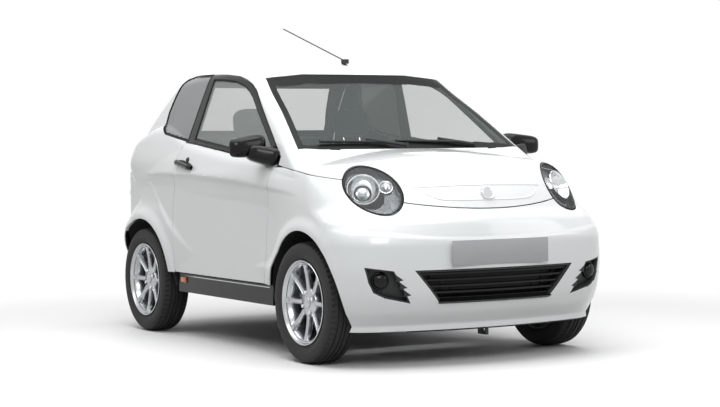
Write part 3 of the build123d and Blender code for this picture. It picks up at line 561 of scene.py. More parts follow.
def leaning(x: float, y: float, lean: float = 0.0) -> Callable:
    """Line that the rays of a fan start from: upright to the belt, then leaning forward.

    Args:
        x: its x below the belt.
        y: its y.
        lean: how far forward it goes for each metre of height.

    Returns:
        A function of height that gives x and y.
    """
    return lambda z: (x + np.clip(z - 0.95, 0, 1) * lean, np.full_like(z, y))


class Master:
    """A dense sheet over part of the body, from which panels are cut."""

    def __init__(self, name: str, origins: np.ndarray, directions: np.ndarray, rows: int, columns: int,
                 form: BodyForm) -> None:
        """Follows the rays and keeps the grid of points.

        Args:
            name: the sheet's name.
            origins: where the rays start.
            directions: where they point.
            rows: rays along.
            columns: rays across.
            form: the body's form.
        """
        self.name = name
        self.points = form.hit(origins, directions)
        self.rows, self.columns = rows, columns

    @classmethod
    def over(cls, form: BodyForm) -> "Master":
        """Sheet over the sides, the bonnet and the roof, from rays round the car's length axis.

        Args:
            form: the body's form.

        Returns:
            The sheet.
        """
        xs = np.concatenate([np.linspace(-1.315, 1.10, 220), np.linspace(1.106, 1.325, 44)])
        angles = np.radians(np.concatenate([np.linspace(-36, 22, 100), np.linspace(23, 90, 64)]))
        gx, ga = np.meshgrid(xs, angles, indexing="ij")
        origins = np.stack([gx, np.zeros_like(gx), np.full_like(gx, 0.60)], -1).reshape(-1, 3)
        rays = np.stack([np.zeros_like(ga), np.cos(ga), np.sin(ga)], -1).reshape(-1, 3)
        return cls("over", origins, rays, len(xs), len(angles), form)

    @classmethod
    def fan(cls, form: BodyForm, name: str, path: Callable, headings: tuple, heights: tuple) -> "Master":
        """Sheet round one end of the car, from level rays that spread from an upright line.

        Args:
            form: the body form.
            name: name of the sheet.
            path: function of height that returns the line's x and y.
            headings: (from, to, count) of the rays in degrees, 0 along +X and 90 along +Y.
            heights: (from, to, count) in metres.

        Returns:
            The sheet.
        """
        zs = np.linspace(*heights)
        angles = np.radians(np.linspace(*headings))
        gz, ga = np.meshgrid(zs, angles, indexing="ij")
        x, y = path(gz)
        origins = np.stack([x, y, gz], -1).reshape(-1, 3)
        rays = np.stack([np.cos(ga), np.sin(ga), np.zeros_like(ga)], -1).reshape(-1, 3)
        return cls(name, origins, rays, len(zs), len(angles), form)

    def sheet(self, keep: Test, mirror: bool = False) -> BMesh:
        """Builds the part of the sheet whose points pass a test.

        Args:
            keep: function of the (n, 3) points that returns a mask.
            mirror: builds the other side's copy.

        Returns:
            A bmesh.
        """
        bm = bmesh.new()
        bmesh.ops.create_grid(bm, x_segments=self.columns - 1, y_segments=self.rows - 1, size=1)
        bm.verts.ensure_lookup_table()
        order = sorted(bm.verts, key=lambda v: (round(v.co.y, 6), round(v.co.x, 6)))
        points = self.points * np.array([1, -1 if mirror else 1, 1])
        mask = keep(points)
        for vert, point in zip(order, points):
            vert.co = point
        drop = [v for v, ok in zip(order, mask) if not ok]
        bmesh.ops.delete(bm, geom=drop, context="VERTS")
        return bm


def trim(bm: BMesh, outline: Points, axis: str, inside: bool | None = None, where: Test | None = None) -> None:
    """Cuts a sheet along a closed outline seen along an axis, and drops one side of it.

    Args:
        bm: the sheet.
        outline: corners, as (x, z) for axis y and (y, z) for axis x and (x, y) for axis z.
        axis: "x", "y" or "z", the line of sight.
        inside: True keeps what lies inside the outline, False what lies outside, None only cuts the line.
        where: optional test on a point; faces that fail it are left alone.
    """
    a, b = {"x": (1, 2), "y": (0, 2), "z": (0, 1)}[axis]
    n = len(outline)
    for i in range(n):
        p, q = outline[i], outline[(i + 1) % n]
        size = math.hypot(q[0] - p[0], q[1] - p[1])
        if size < 1e-6:
            continue
        normal, point = [0.0] * 3, [0.0] * 3
        normal[a], normal[b] = -(q[1] - p[1]) / size, (q[0] - p[0]) / size
        point[a], point[b] = p
        margin = 0.012
        lo = (min(p[0], q[0]) - margin, min(p[1], q[1]) - margin)
        hi = (max(p[0], q[0]) + margin, max(p[1], q[1]) + margin)
        near = []
        for face in bm.faces:
            c = face.calc_center_median()
            if lo[0] <= c[a] <= hi[0] and lo[1] <= c[b] <= hi[1] and (where is None or where(c)):
                near.append(face)
        if not near:
            continue
        edges = {e for f in near for e in f.edges}
        verts = {v for f in near for v in f.verts}
        bmesh.ops.bisect_plane(bm, geom=list(near) + list(edges) + list(verts), plane_co=point, plane_no=normal,
                               dist=1e-5)
    if inside is None:
        return
    drop = []
    for face in bm.faces:
        c = face.calc_center_median()
        if where is not None and not where(c):
            continue
        if contains(outline, c[a], c[b]) != inside:
            drop.append(face)
    bmesh.ops.delete(bm, geom=drop, context="FACES")


def contains(outline: Points, u: float, v: float) -> bool:
    """Tells whether a point lies inside a closed outline.

    Args:
        outline: its corners.
        u: first place.
        v: second place.

    Returns:
        True inside.
    """
    odd = False
    n = len(outline)
    for i in range(n):
        (x0, y0), (x1, y1) = outline[i], outline[(i + 1) % n]
        if (y0 > v) != (y1 > v) and u < (x1 - x0) * (v - y0) / (y1 - y0) + x0:
            odd = not odd
    return odd


def thicken(bm: BMesh, thickness: float, edge_bevel: float = 0.0012, sink: float = 0.0) -> None:
    """Turns a sheet into a closed shell that reaches inward, with eased rims.

    Args:
        bm: the sheet.
        thickness: wall in metres.
        edge_bevel: width of the rim's bevel.
        sink: how far the outer face lies below the sheet.
    """
    bmesh.ops.remove_doubles(bm, verts=bm.verts, dist=2e-5)
    bmesh.ops.recalc_face_normals(bm, faces=bm.faces)
    centre = Vector((0.0, 0.0, 0.7))
    outward = sum((f.calc_center_median() - centre).dot(f.normal) * f.calc_area() for f in bm.faces)
    if outward < 0:
        bmesh.ops.reverse_faces(bm, faces=bm.faces)
    bm.normal_update()
    for vert, normal in [(v, v.normal.copy()) for v in bm.verts]:
        vert.co -= normal * sink
    normals = {v: v.normal.copy() for v in bm.verts}
    outer = list(bm.faces)
    for face in outer:
        face.tag = True
    copy = bmesh.ops.extrude_face_region(bm, geom=outer, use_keep_orig=True)
    inner_verts = [g for g in copy["geom"] if isinstance(g, bmesh.types.BMVert)]
    for vert in inner_verts:
        source = vert.co.copy()
        vert.co = source - vert.normal * thickness if vert not in normals else source
    bmesh.ops.recalc_face_normals(bm, faces=bm.faces)
    if edge_bevel:
        rims = [e for e in bm.edges if len(e.link_faces) == 2 and e.calc_face_angle(0) > 1.0]
        bmesh.ops.bevel(bm, geom=rims, offset=edge_bevel, segments=2, profile=0.5, affect="EDGES",
                        clamp_overlap=True, material=-1)


class Shop:
    """Makes finished objects, with their materials and the body each one rides on."""

    def __init__(self) -> None:
        """Builds all the finishes."""
        self.materials = {finish.name: finish.build() for finish in FINISHES}

    def piece(self, bm: BMesh, name: str, body: str, finishes: str | list, slot: str | None = None,
              replaces: list | tuple = (), smooth: float = 40) -> bpy.types.Object:
        """Closes a bmesh into an object.

        Args:
            bm: the mesh; it is freed.
            name: object name.
            body: body that the piece rides on.
            finishes: one finish name or a list of them, by material index.
            slot: the record's material slot; not used.
            replaces: CAD nodes that this piece stands for.
            smooth: crease angle in degrees.

        Returns:
            The object.
        """
        mesh = bpy.data.meshes.new(name)
        for face in bm.faces:
            face.smooth = True
        bm.to_mesh(mesh)
        bm.free()
        mesh.set_sharp_from_angle(angle=math.radians(smooth))
        names = [finishes] if isinstance(finishes, str) else finishes
        for finish in names:
            mesh.materials.append(self.materials[finish])
        obj = bpy.data.objects.new(name, mesh)
        bpy.context.scene.collection.objects.link(obj)
        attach(obj, body)
        if replaces:
            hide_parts(*replaces)
        LOG.info("piece %s rides on %s", name, body)
        return obj


def tailgate_edge(gap: float) -> list:
    """Outline of the tailgate from behind; a negative gap is the opening round it."""
    return drawn_back(both(TAILGATE), gap)


# ------------------------------------------------------------------ studio
class Studio:
    """Camera, floor and lights."""

    CAMERA = Vector((7.958, -4.560, 0.995))
    FORWARD = Vector((-0.864, 0.503, -0.033))
    UP = Vector((-0.023, 0.025, 0.999))
    LENS = 89.12
    AMBIENT = 0.17
    FADE = (1.9, 3.6)
    BOUNCE = "#9C9C9C"

    @classmethod
    def camera(cls) -> None:
        """Places the camera low, to the right of the nose."""
        data = bpy.data.cameras.new("camera")
        data.lens = cls.LENS
        data.sensor_width = 36.0
        data.clip_end = 200.0
        cam = bpy.data.objects.new("camera", data)
        back = -cls.FORWARD.normalized()
        right = cls.UP.cross(back).normalized()
        up = back.cross(right)
        matrix = Matrix((right, up, back)).transposed().to_4x4()
        matrix.translation = cls.CAMERA
        cam.matrix_world = matrix
        bpy.context.scene.collection.objects.link(cam)
        bpy.context.scene.camera = cam

    @staticmethod
    def light(name: str, place: tuple, target: tuple, size: tuple, power: float, tint: str = "FFFFFF") -> None:
        """Adds one soft area light aimed at a point.

        Args:
            name: its name.
            place: where it stands.
            target: what it aims at.
            size: its extents.
            power: its watts.
            tint: its colour.
        """
        data = bpy.data.lights.new(name, "AREA")
        data.shape = "RECTANGLE"
        data.size, data.size_y = size
        data.energy = power
        data.color = srgb(tint)[:3]
        obj = bpy.data.objects.new(name, data)
        obj.location = place
        obj.rotation_euler = (Vector(target) - Vector(place)).to_track_quat("-Z", "Y").to_euler()
        bpy.context.scene.collection.objects.link(obj)

    @classmethod
    def build(cls) -> None:
        """Builds the floor, the world light and the lamps."""
        bm = bmesh.new()
        bmesh.ops.create_grid(bm, x_segments=8, y_segments=8, size=40)
        mesh = bpy.data.meshes.new("floor")
        bm.to_mesh(mesh)
        bm.free()
        floor = bpy.data.objects.new("floor", mesh)
        floor.location.z = -0.0005
        bpy.context.scene.collection.objects.link(floor)
        mesh.materials.append(cls.floor_paint())
        world = bpy.data.worlds.new("studio")
        world.use_nodes = True
        tree = world.node_tree
        background = tree.nodes["Background"]
        background.inputs["Color"].default_value = srgb("FFFFFF")
        strength = add_node(tree, "ShaderNodeMapRange")
        strength.inputs["To Min"].default_value = cls.AMBIENT
        tree.links.new(cls.seen(tree), strength.inputs["Value"])
        tree.links.new(strength.outputs["Result"], background.inputs["Strength"])
        bpy.context.scene.world = world
        cls.light("key_top", (0.8, -0.5, 4.6), (0.0, -0.1, 0.6), (5.5, 4.8), 245)
        cls.light("front_left", (5.0, 4.5, 3.2), (0.6, 0.2, 0.6), (3.5, 2.4), 60)
        cls.light("front_right", (6.2, -2.6, 3.9), (0.6, -0.2, 0.6), (3.6, 2.2), 150)
        cls.light("side_right", (-0.4, -4.6, 4.2), (-0.3, -0.7, 0.7), (5.0, 1.6), 42)
        cls.light("rear_fill", (-5.5, 2.5, 3.4), (-0.4, 0.0, 0.6), (4.0, 2.5), 60)

    @staticmethod
    def seen(tree: bpy.types.NodeTree) -> bpy.types.NodeSocket:
        """A 0 or 1 socket: 1 where a ray comes from the camera, a mirror reflection or through glass.

        Args:
            tree: the node tree.

        Returns:
            The socket.
        """
        path = add_node(tree, "ShaderNodeLightPath")
        total = path.outputs["Is Camera Ray"]
        for name in ("Is Glossy Ray", "Is Transmission Ray"):
            plus = add_node(tree, "ShaderNodeMath", operation="MAXIMUM")
            tree.links.new(total, plus.inputs[0])
            tree.links.new(path.outputs[name], plus.inputs[1])
            total = plus.outputs["Value"]
        return total

    @classmethod
    def floor_paint(cls) -> bpy.types.Material:
        """White studio floor that keeps the shadow near the car and runs out to plain white.

        Returns:
            The material.
        """
        mat = bpy.data.materials.new("studio_floor")
        mat.use_nodes = True
        tree = mat.node_tree
        shader = tree.nodes["Principled BSDF"]
        shader.inputs["Roughness"].default_value = 0.6
        paint = add_node(tree, "ShaderNodeMix", data_type="RGBA")
        paint.inputs[6].default_value = srgb(cls.BOUNCE)
        paint.inputs[7].default_value = srgb("F6F6F6")
        tree.links.new(cls.seen(tree), paint.inputs[0])
        tree.links.new(paint.outputs[2], shader.inputs["Base Color"])
        shader.inputs["Specular IOR Level"].default_value = 0.1
        glow = add_node(tree, "ShaderNodeEmission", Color=srgb("FFFFFF"), Strength=1.0)
        coords = add_node(tree, "ShaderNodeTexCoord")
        length = add_node(tree, "ShaderNodeVectorMath", operation="LENGTH")
        tree.links.new(coords.outputs["Object"], length.inputs[0])
        ramp = add_node(tree, "ShaderNodeMapRange")
        ramp.interpolation_type = "SMOOTHSTEP"
        ramp.inputs["From Min"].default_value = cls.FADE[0]
        ramp.inputs["From Max"].default_value = cls.FADE[1]
        tree.links.new(length.outputs["Value"], ramp.inputs["Value"])
        factor = add_node(tree, "ShaderNodeMath", operation="MULTIPLY")
        tree.links.new(ramp.outputs["Result"], factor.inputs[0])
        tree.links.new(cls.seen(tree), factor.inputs[1])
        mix = add_node(tree, "ShaderNodeMixShader")
        tree.links.new(factor.outputs["Value"], mix.inputs["Fac"])
        tree.links.new(shader.outputs["BSDF"], mix.inputs[1])
        tree.links.new(glow.outputs["Emission"], mix.inputs[2])
        tree.links.new(mix.outputs["Shader"], tree.nodes["Material Output"].inputs["Surface"])
        return mat


# ------------------------------------------------------------------ body panels
@dataclass
class Shell:
    """The painted skin: sheets over the body form, cut into panels along the shut lines."""

    shop: Shop
    form: BodyForm
    skin: float = 0.0055
    gap: float = 0.003
    seam: float = 0.0005
    rear_lean: float = 0.45
    door_wall: float = 0.040
    quarter_wall: float = 0.016
    roof_wall: float = 0.020
    bonnet_wall: float = 0.010
    tailgate_wall: float = 0.026
    lining_sink: float = 0.006
    arm_y: float = 0.440
    arm_thick: float = 0.016
    strap_y: float = 0.300
    strap_thick: float = 0.024
    LINED: ClassVar = ["white_lacquer", "trim_skin"]
    over: Master = None
    nose: Master = None
    tail: Master = None
    corner: Master = None

    def __post_init__(self) -> None:
        """Samples the four sheets."""
        self.over = Master.over(self.form)
        self.nose = Master.fan(self.form, "nose", leaning(0.80, 0.0), (-88, 88, 200), (0.165, 0.86, 132))
        lean = leaning(-0.86, 0.0, self.rear_lean)
        self.tail = Master.fan(self.form, "tail", lean, (92, 268, 170), (0.165, 1.409, 177))
        lean = leaning(-0.86, 0.20, self.rear_lean)
        self.corner = Master.fan(self.form, "corner", lean, (38, 185, 170), (0.165, 1.402, 176))

    def cut(self, master: Master, keep: Test, cuts: list, mirror: bool = False, whole: bool = False,
            wall: float | None = None, bevel: float = 0.0012, sink: float = 0.0) -> BMesh:
        """Cuts one panel from a sheet.

        Args:
            master: sheet to cut from.
            keep: rough test on (n, 3) points that drops what is far away.
            cuts: list of (outline, axis, inside, where) for trim().
            mirror: True for the right side's copy.
            whole: True adds the other half, for a panel that crosses the middle.
            wall: thickness; the skin's when None.
            bevel: width of the rim's bevel.
            sink: how far the outer face lies below the body form.

        Returns:
            A bmesh of the closed panel; its inner faces have material index 1.
        """
        bm = master.sheet(keep)
        for outline, axis, inside, where in cuts:
            trim(bm, outline, axis, inside, where)
        if whole:
            bmesh.ops.mirror(bm, geom=bm.verts[:] + bm.edges[:] + bm.faces[:], axis="Y", merge_dist=0.0008)
        if mirror:
            bmesh.ops.transform(bm, matrix=MIRROR, verts=bm.verts)
        thicken(bm, wall or self.skin, bevel, sink)
        for face in bm.faces:
            c = face.calc_center_median()
            axis = Vector((min(max(c.x, -0.95), 0.80), 0.0, 0.66))
            face.material_index = 1 if face.normal.dot((c - axis).normalized()) < -0.35 else 0
        return bm

    @staticmethod
    def within(x0: float, x1: float, y0: float, z0: float, z1: float) -> Test:
        """A test for points inside a box."""
        return lambda p: ((p[:, 0] > x0) & (p[:, 0] < x1) & (p[:, 1] > y0) & (p[:, 2] > z0) & (p[:, 2] < z1))

    def build(self) -> None:
        """Builds all the painted panels."""
        for side in Side:
            mirror = side is Side.RIGHT
            name = side.name.lower()
            self.door(name, mirror)
            self.wing(name, mirror)
            self.quarter(name, mirror)
        self.bonnet()
        self.roof()
        self.bumper_front()
        self.bumper_rear()
        self.tailgate()

    def door(self, name: str, mirror: bool) -> None:
        """Door skin with its window opening.

        Args:
            name: side's name.
            mirror: True for the right side.
        """
        bm = self.cut(self.over, self.within(-0.70, 0.62, 0.40, 0.29, 1.42),
                      [(drawn_back(DOOR_FRONT[:3] + [BELT_FRONT] + DOOR_REAR, self.gap), "y", True, None),
                       (WINDOW, "y", False, None)], mirror)
        self.shop.piece(bm, f"door_skin_{name}", f"door_{name}", self.LINED, "body_white", [f"door_{name}"])
        core = drawn_back(DOOR_FRONT[:3] + [BELT_FRONT] + DOOR_REAR, 0.010)
        bm = self.cut(self.over, self.within(-0.70, 0.62, 0.40, 0.29, 1.42),
                      [(core, "y", True, None), (drawn_back(WINDOW, -0.006), "y", False, None)], mirror,
                      wall=self.door_wall, bevel=0.004, sink=self.lining_sink)
        self.shop.piece(bm, f"door_lining_{name}", f"door_{name}", "trim_skin", "dark_plastic")

    def wing(self, name: str, mirror: bool) -> None:
        """Front wing behind the headlamp.

        Args:
            name: side's name.
            mirror: True for the right side.
        """
        bm = self.cut(self.over, self.within(0.36, 1.26, 0.30, 0.29, 1.0),
                      [(drawn_back(WING, self.seam), "y", True, None),
                       arch_hole(FRONT_X),
                       lamp_hole()], mirror)
        self.shop.piece(bm, f"wing_skin_{name}", "body", ["white_lacquer", "black_polypropylene"], "body_white",
                        ["front_wings"] if mirror else [])

    def quarter(self, name: str, mirror: bool) -> None:
        """Rear quarter, from the door to the tailgate.

        Args:
            name: side's name.
            mirror: True for the right side.
        """
        bm = self.cut(self.corner, self.within(-1.5, -0.36, 0.30, 0.29, 1.42),
                      [(drawn_back(QUARTER, self.seam), "y", True, None), (QUARTER_HOLE, "y", False, None),
                       arch_hole(REAR_X),
                       (tailgate_edge(-self.gap), "x", False, lambda c: c[0] < TAILGATE_FRONT_X),
                       (circle(TAIL_LAMP[:2], TAIL_LAMP[2] + 0.001), "x", False, lambda c: c[0] < -1.1)], mirror,
                      wall=self.quarter_wall)
        self.shop.piece(bm, f"quarter_skin_{name}", "body", self.LINED, "body_white",
                        ["quarter_panels"] if mirror else [])

    def bonnet(self) -> None:
        """Bonnet, from the bumper to the foot of the windscreen."""
        x, r = BONNET_REAR
        rear = [(x - self.gap - y * y / (2 * r), y) for y in np.linspace(0.8, -0.8, 41)]
        bm = self.cut(self.over, self.within(0.45, 1.4, -0.01, 0.60, 1.1),
                      [(drawn_back(BONNET, self.gap), "y", True, None),
                       ([(1.5, 0.8)] + rear + [(1.5, -0.8)], "z", True, None),
                       lamp_hole()], whole=True)
        self.shop.piece(bm, "bonnet_skin", "bonnet", "white_lacquer", "body_white", ["bonnet"])
        rear = [(x + 0.030 - y * y / (2 * r), y) for y in np.linspace(0.8, -0.8, 21)]
        bm = self.cut(self.over, self.within(0.45, 1.4, -0.01, 0.60, 1.1),
                      [(drawn_back(BONNET, 0.030), "y", True, None),
                       ([(1.5, 0.8)] + rear + [(1.5, -0.8)], "z", True, None),
                       lamp_hole(1, LINING_MARGIN, 0.90)], whole=True,
                      wall=self.bonnet_wall, bevel=0.003, sink=self.lining_sink)
        self.shop.piece(bm, "bonnet_lining", "bonnet", "black_polypropylene", "dark_plastic")
        arms = [plate(BONNET_ARM, side.value * self.arm_y, self.arm_thick) for side in reversed(Side)]
        self.shop.piece(merge(arms), "bonnet_arms", "bonnet", "chassis_paint", "frame_aluminium")

    def roof(self) -> None:
        """Roof with the windscreen pillars and the cowl."""
        x, r = BONNET_REAR
        rear = [(x - y * y / (2 * r), y) for y in np.linspace(0.8, -0.8, 41)]
        side = [(0.770, 0.893), (0.606, 0.893), BELT_FRONT, (0.546, 0.942)] + DOOR_HEAD
        side = side + [(-0.800, 1.376), (-0.800, 1.600), (0.770, 1.600)]
        bm = self.cut(self.over, self.within(-0.90, 0.80, -0.01, 0.86, 1.5),
                      [(drawn_back(side, self.seam), "y", True, None),
                       (rear + [(-1.5, -0.8), (-1.5, 0.8)], "z", True, None),
                       (ARM_SLOT, "z", False, lambda c: c[2] < 1.05),
                       (both(WINDSCREEN), "x", False, lambda c: c[0] > 0.02)], whole=True, wall=self.roof_wall)
        self.shop.piece(bm, "roof_skin", "body", ["white_lacquer", "headlining"], "body_white", ["roof_frame"])

    def bumper_front(self) -> None:
        """Front bumper with its intake and the recesses of the fog lamps."""
        bm = self.cut(self.nose, self.within(0.82, 1.5, -2, 0.16, 0.80),
                      [(drawn_back(FRONT_BUMPER, self.seam), "y", True, None),
                       arch_hole(FRONT_X),
                       (both(INTAKE), "x", False, lambda c: c[0] > 1.0),
                       (FOG_RECESS, "x", False, lambda c: c[0] > 0.95),
                       ([(-y, z) for y, z in FOG_RECESS], "x", False, lambda c: c[0] > 0.95),
                       lamp_hole(),
                       lamp_hole(-1)])
        lip = self.cut(self.nose, self.within(0.90, 1.5, -0.42, 0.164, 0.23), [], wall=0.004, bevel=0.0, sink=0.030)
        bmesh.ops.translate(lip, vec=(0, 0, -0.010), verts=lip.verts)
        self.shop.piece(lip, "front_valance", "body", "black_polypropylene", "black_trim")
        self.shop.piece(bm, "bumper_front_skin", "body", ["white_lacquer", "black_polypropylene"], "body_white",
                        ["front_bumper"])

    def bumper_rear(self) -> None:
        """Rear bumper."""
        bm = self.cut(self.tail, self.within(-1.5, -0.95, -2, 0.16, 0.65),
                      [(drawn_back(REAR_BUMPER, self.seam), "y", True, None),
                       arch_hole(REAR_X)])
        self.shop.piece(bm, "bumper_rear_skin", "body", ["white_lacquer", "black_polypropylene"], "body_white",
                        ["rear_bumper"])

    def tailgate(self) -> None:
        """Tailgate with its glass opening."""
        bm = self.cut(self.tail, self.within(-1.5, -0.78, -2, 0.59, 1.43),
                      [(tailgate_edge(0.0), "x", True, None), (both(TAILGATE_GLASS), "x", False, None)])
        self.shop.piece(bm, "tailgate_skin", "tailgate", self.LINED, "body_white", ["tailgate"])
        bm = self.cut(self.tail, self.within(-1.5, -0.81, -2, 0.60, 1.40),
                      [(tailgate_edge(0.012), "x", True, None),
                       (drawn_back(both(TAILGATE_GLASS), -0.006), "x", False, None)],
                      wall=self.tailgate_wall, bevel=0.004, sink=self.lining_sink)
        self.shop.piece(bm, "tailgate_lining", "tailgate", "trim_skin", "dark_plastic")
        straps = [plate(TAILGATE_STRAP, side.value * self.strap_y, self.strap_thick) for side in reversed(Side)]
        self.shop.piece(merge(straps), "tailgate_straps", "tailgate", "chassis_paint", "frame_aluminium")


# ------------------------------------------------------------------ shared mesh helpers
def lathe(profile: Points, steps: int, closed: bool = True) -> BMesh:
    """Turns a profile of (radius, y) points round the Y axis.

    Args:
        profile: the points.
        steps: divisions of the full turn.
        closed: joins the last point to the first.

    Returns:
        A bmesh.
    """
    bm = bmesh.new()
    verts = [bm.verts.new((r, y, 0.0)) for r, y in profile]
    pairs = list(zip(verts, verts[1:])) + ([(verts[-1], verts[0])] if closed else [])
    edges = [bm.edges.new(pair) for pair in pairs]
    bmesh.ops.spin(bm, geom=verts + edges, cent=(0, 0, 0), axis=(0, 1, 0), angle=2 * math.pi, steps=steps,
                   use_merge=True)
    bmesh.ops.remove_doubles(bm, verts=bm.verts, dist=1e-6)
    bmesh.ops.recalc_face_normals(bm, faces=bm.faces)
    return bm


def block(size: tuple, place: tuple, bevel: float = 0.004, segments: int = 3, turn: Matrix | None = None) -> BMesh:
    """A box with rounded edges.

    Args:
        size: (x, y, z) extents.
        place: its centre.
        bevel: rounding width.
        segments: rounding steps.
        turn: optional rotation matrix, applied before the move.

    Returns:
        A bmesh.
    """
    bm = bmesh.new()
    bmesh.ops.create_cube(bm, size=1.0, matrix=Matrix.Diagonal((*size, 1.0)))
    if bevel:
        bmesh.ops.bevel(bm, geom=bm.edges[:], offset=bevel, segments=segments, profile=0.5, affect="EDGES",
                        clamp_overlap=True, material=-1)
    matrix = Matrix.Translation(place) @ (turn or Matrix()).to_4x4()
    bmesh.ops.transform(bm, matrix=matrix, verts=bm.verts)
    return bm


def plate(outline: Points, y: float, thickness: float) -> BMesh:
    """A flat upright plate.

    Args:
        outline: (x, z) corners.
        y: place of its middle.
        thickness: its thickness.

    Returns:
        A bmesh.
    """
    bm = bmesh.new()
    face = bm.faces.new([bm.verts.new((x, y - thickness / 2, z)) for x, z in outline])
    grown = bmesh.ops.extrude_face_region(bm, geom=[face])["geom"]
    bmesh.ops.translate(bm, vec=(0, thickness, 0), verts=[v for v in grown if isinstance(v, bmesh.types.BMVert)])
    bmesh.ops.recalc_face_normals(bm, faces=bm.faces)
    bmesh.ops.bevel(bm, geom=bm.edges[:], offset=0.0015, segments=2, profile=0.5, affect="EDGES", clamp_overlap=True,
                    material=-1)
    return bm


def merge(parts: list) -> BMesh:
    """Joins several bmeshes into one; the others are freed.

    Args:
        parts: the bmeshes.

    Returns:
        The joined bmesh.
    """
    out = parts[0]
    for part in parts[1:]:
        mesh = bpy.data.meshes.new("joining")
        part.to_mesh(mesh)
        part.free()
        out.from_mesh(mesh)
        bpy.data.meshes.remove(mesh)
    return out


def cord(points: Points, radius: float, sides: int = 8, closed: bool = False) -> BMesh:
    """A thin round moulding along points.

    Args:
        points: list of points.
        radius: its radius.
        sides: sides of its section.
        closed: joins the end to the start.

    Returns:
        A bmesh.
    """
    curve = bpy.data.curves.new("moulding", "CURVE")
    curve.dimensions = "3D"
    curve.bevel_depth = radius
    curve.bevel_resolution = max(1, sides // 4)
    curve.use_fill_caps = not closed
    line = curve.splines.new("POLY")
    line.points.add(len(points) - 1)
    for knot, point in zip(line.points, points):
        knot.co = (*point, 1.0)
    line.use_cyclic_u = closed
    obj = bpy.data.objects.new("moulding", curve)
    bpy.context.scene.collection.objects.link(obj)
    mesh = bpy.data.meshes.new_from_object(obj.evaluated_get(bpy.context.evaluated_depsgraph_get()))
    bm = bmesh.new()
    bm.from_mesh(mesh)
    bpy.data.objects.remove(obj)
    bpy.data.curves.remove(curve)
    bpy.data.meshes.remove(mesh)
    bmesh.ops.remove_doubles(bm, verts=bm.verts, dist=1e-6)
    return bm


def moved(bm: BMesh, matrix: Matrix) -> BMesh:
    """Applies a matrix to a bmesh and keeps its faces pointing outward.

    Args:
        bm: the mesh.
        matrix: the move.

    Returns:
        The same bmesh.
    """
    bmesh.ops.transform(bm, matrix=matrix, verts=bm.verts)
    if matrix.determinant() < 0:
        bmesh.ops.reverse_faces(bm, faces=bm.faces)
    return bm


def mirrored(bm: BMesh, s: int) -> None:
    """Carries a left part over to the right when the sign is negative.

    Args:
        bm: the left part.
        s: sign of the side.
    """
    if s < 0:
        moved(bm, MIRROR)


def along(points: Points, step: float = 0.02) -> list:
    """Points spaced evenly along a polyline.

    Args:
        points: the points.
        step: spacing in metres.

    Returns:
        A list of points.
    """
    out = [Vector(points[0])]
    for a, b in zip(points, points[1:]):
        a, b = Vector(a), Vector(b)
        count = max(1, round((b - a).length / step))
        out += [a.lerp(b, (i + 1) / count) for i in range(count)]
    return out


class Surface:
    """Places points and lines on the body's outer surface."""

    def __init__(self, form: BodyForm) -> None:
        """Keeps the form."""
        self.form = form

    def cast(self, origins: list, direction: tuple, proud: float = 0.0) -> list:
        """Follows rays out to the surface, then stands off along the ray.

        Args:
            origins: where the rays start.
            direction: where they point.
            proud: how far outside the surface.

        Returns:
            A list of points.
        """
        origins = np.array(origins, float)
        rays = np.tile(np.array(direction, float), (len(origins), 1))
        return [Vector(p) for p in self.form.hit(origins, rays) + rays * proud]

    def front(self, line: Points, proud: float = 0.0, x: float = 0.9) -> list:
        """Points of a (y, z) line on the nose."""
        return self.cast([(x, y, z) for y, z in line], (1, 0, 0), proud)

    def back(self, line: Points, proud: float = 0.0, x: float = -0.9) -> list:
        """Points of a (y, z) line on the tail."""
        return self.cast([(x, y, z) for y, z in line], (-1, 0, 0), proud)

    def side(self, line: Points, s: int, proud: float = 0.0) -> list:
        """Points of an (x, z) line on the side with sign s."""
        return self.cast([(x, 0.0, z) for x, z in line], (0, s, 0), proud)

    def normal(self, point: Vector) -> Vector:
        """Outward direction of the surface at a point.

        Args:
            point: a point on the surface.

        Returns:
            A unit vector.
        """
        h = 0.002
        p = np.array(point)
        probes = np.array([p + d * h for d in np.vstack([np.eye(3), -np.eye(3)])])
        f = self.form.field(probes)
        return Vector(f[:3] - f[3:]).normalized()


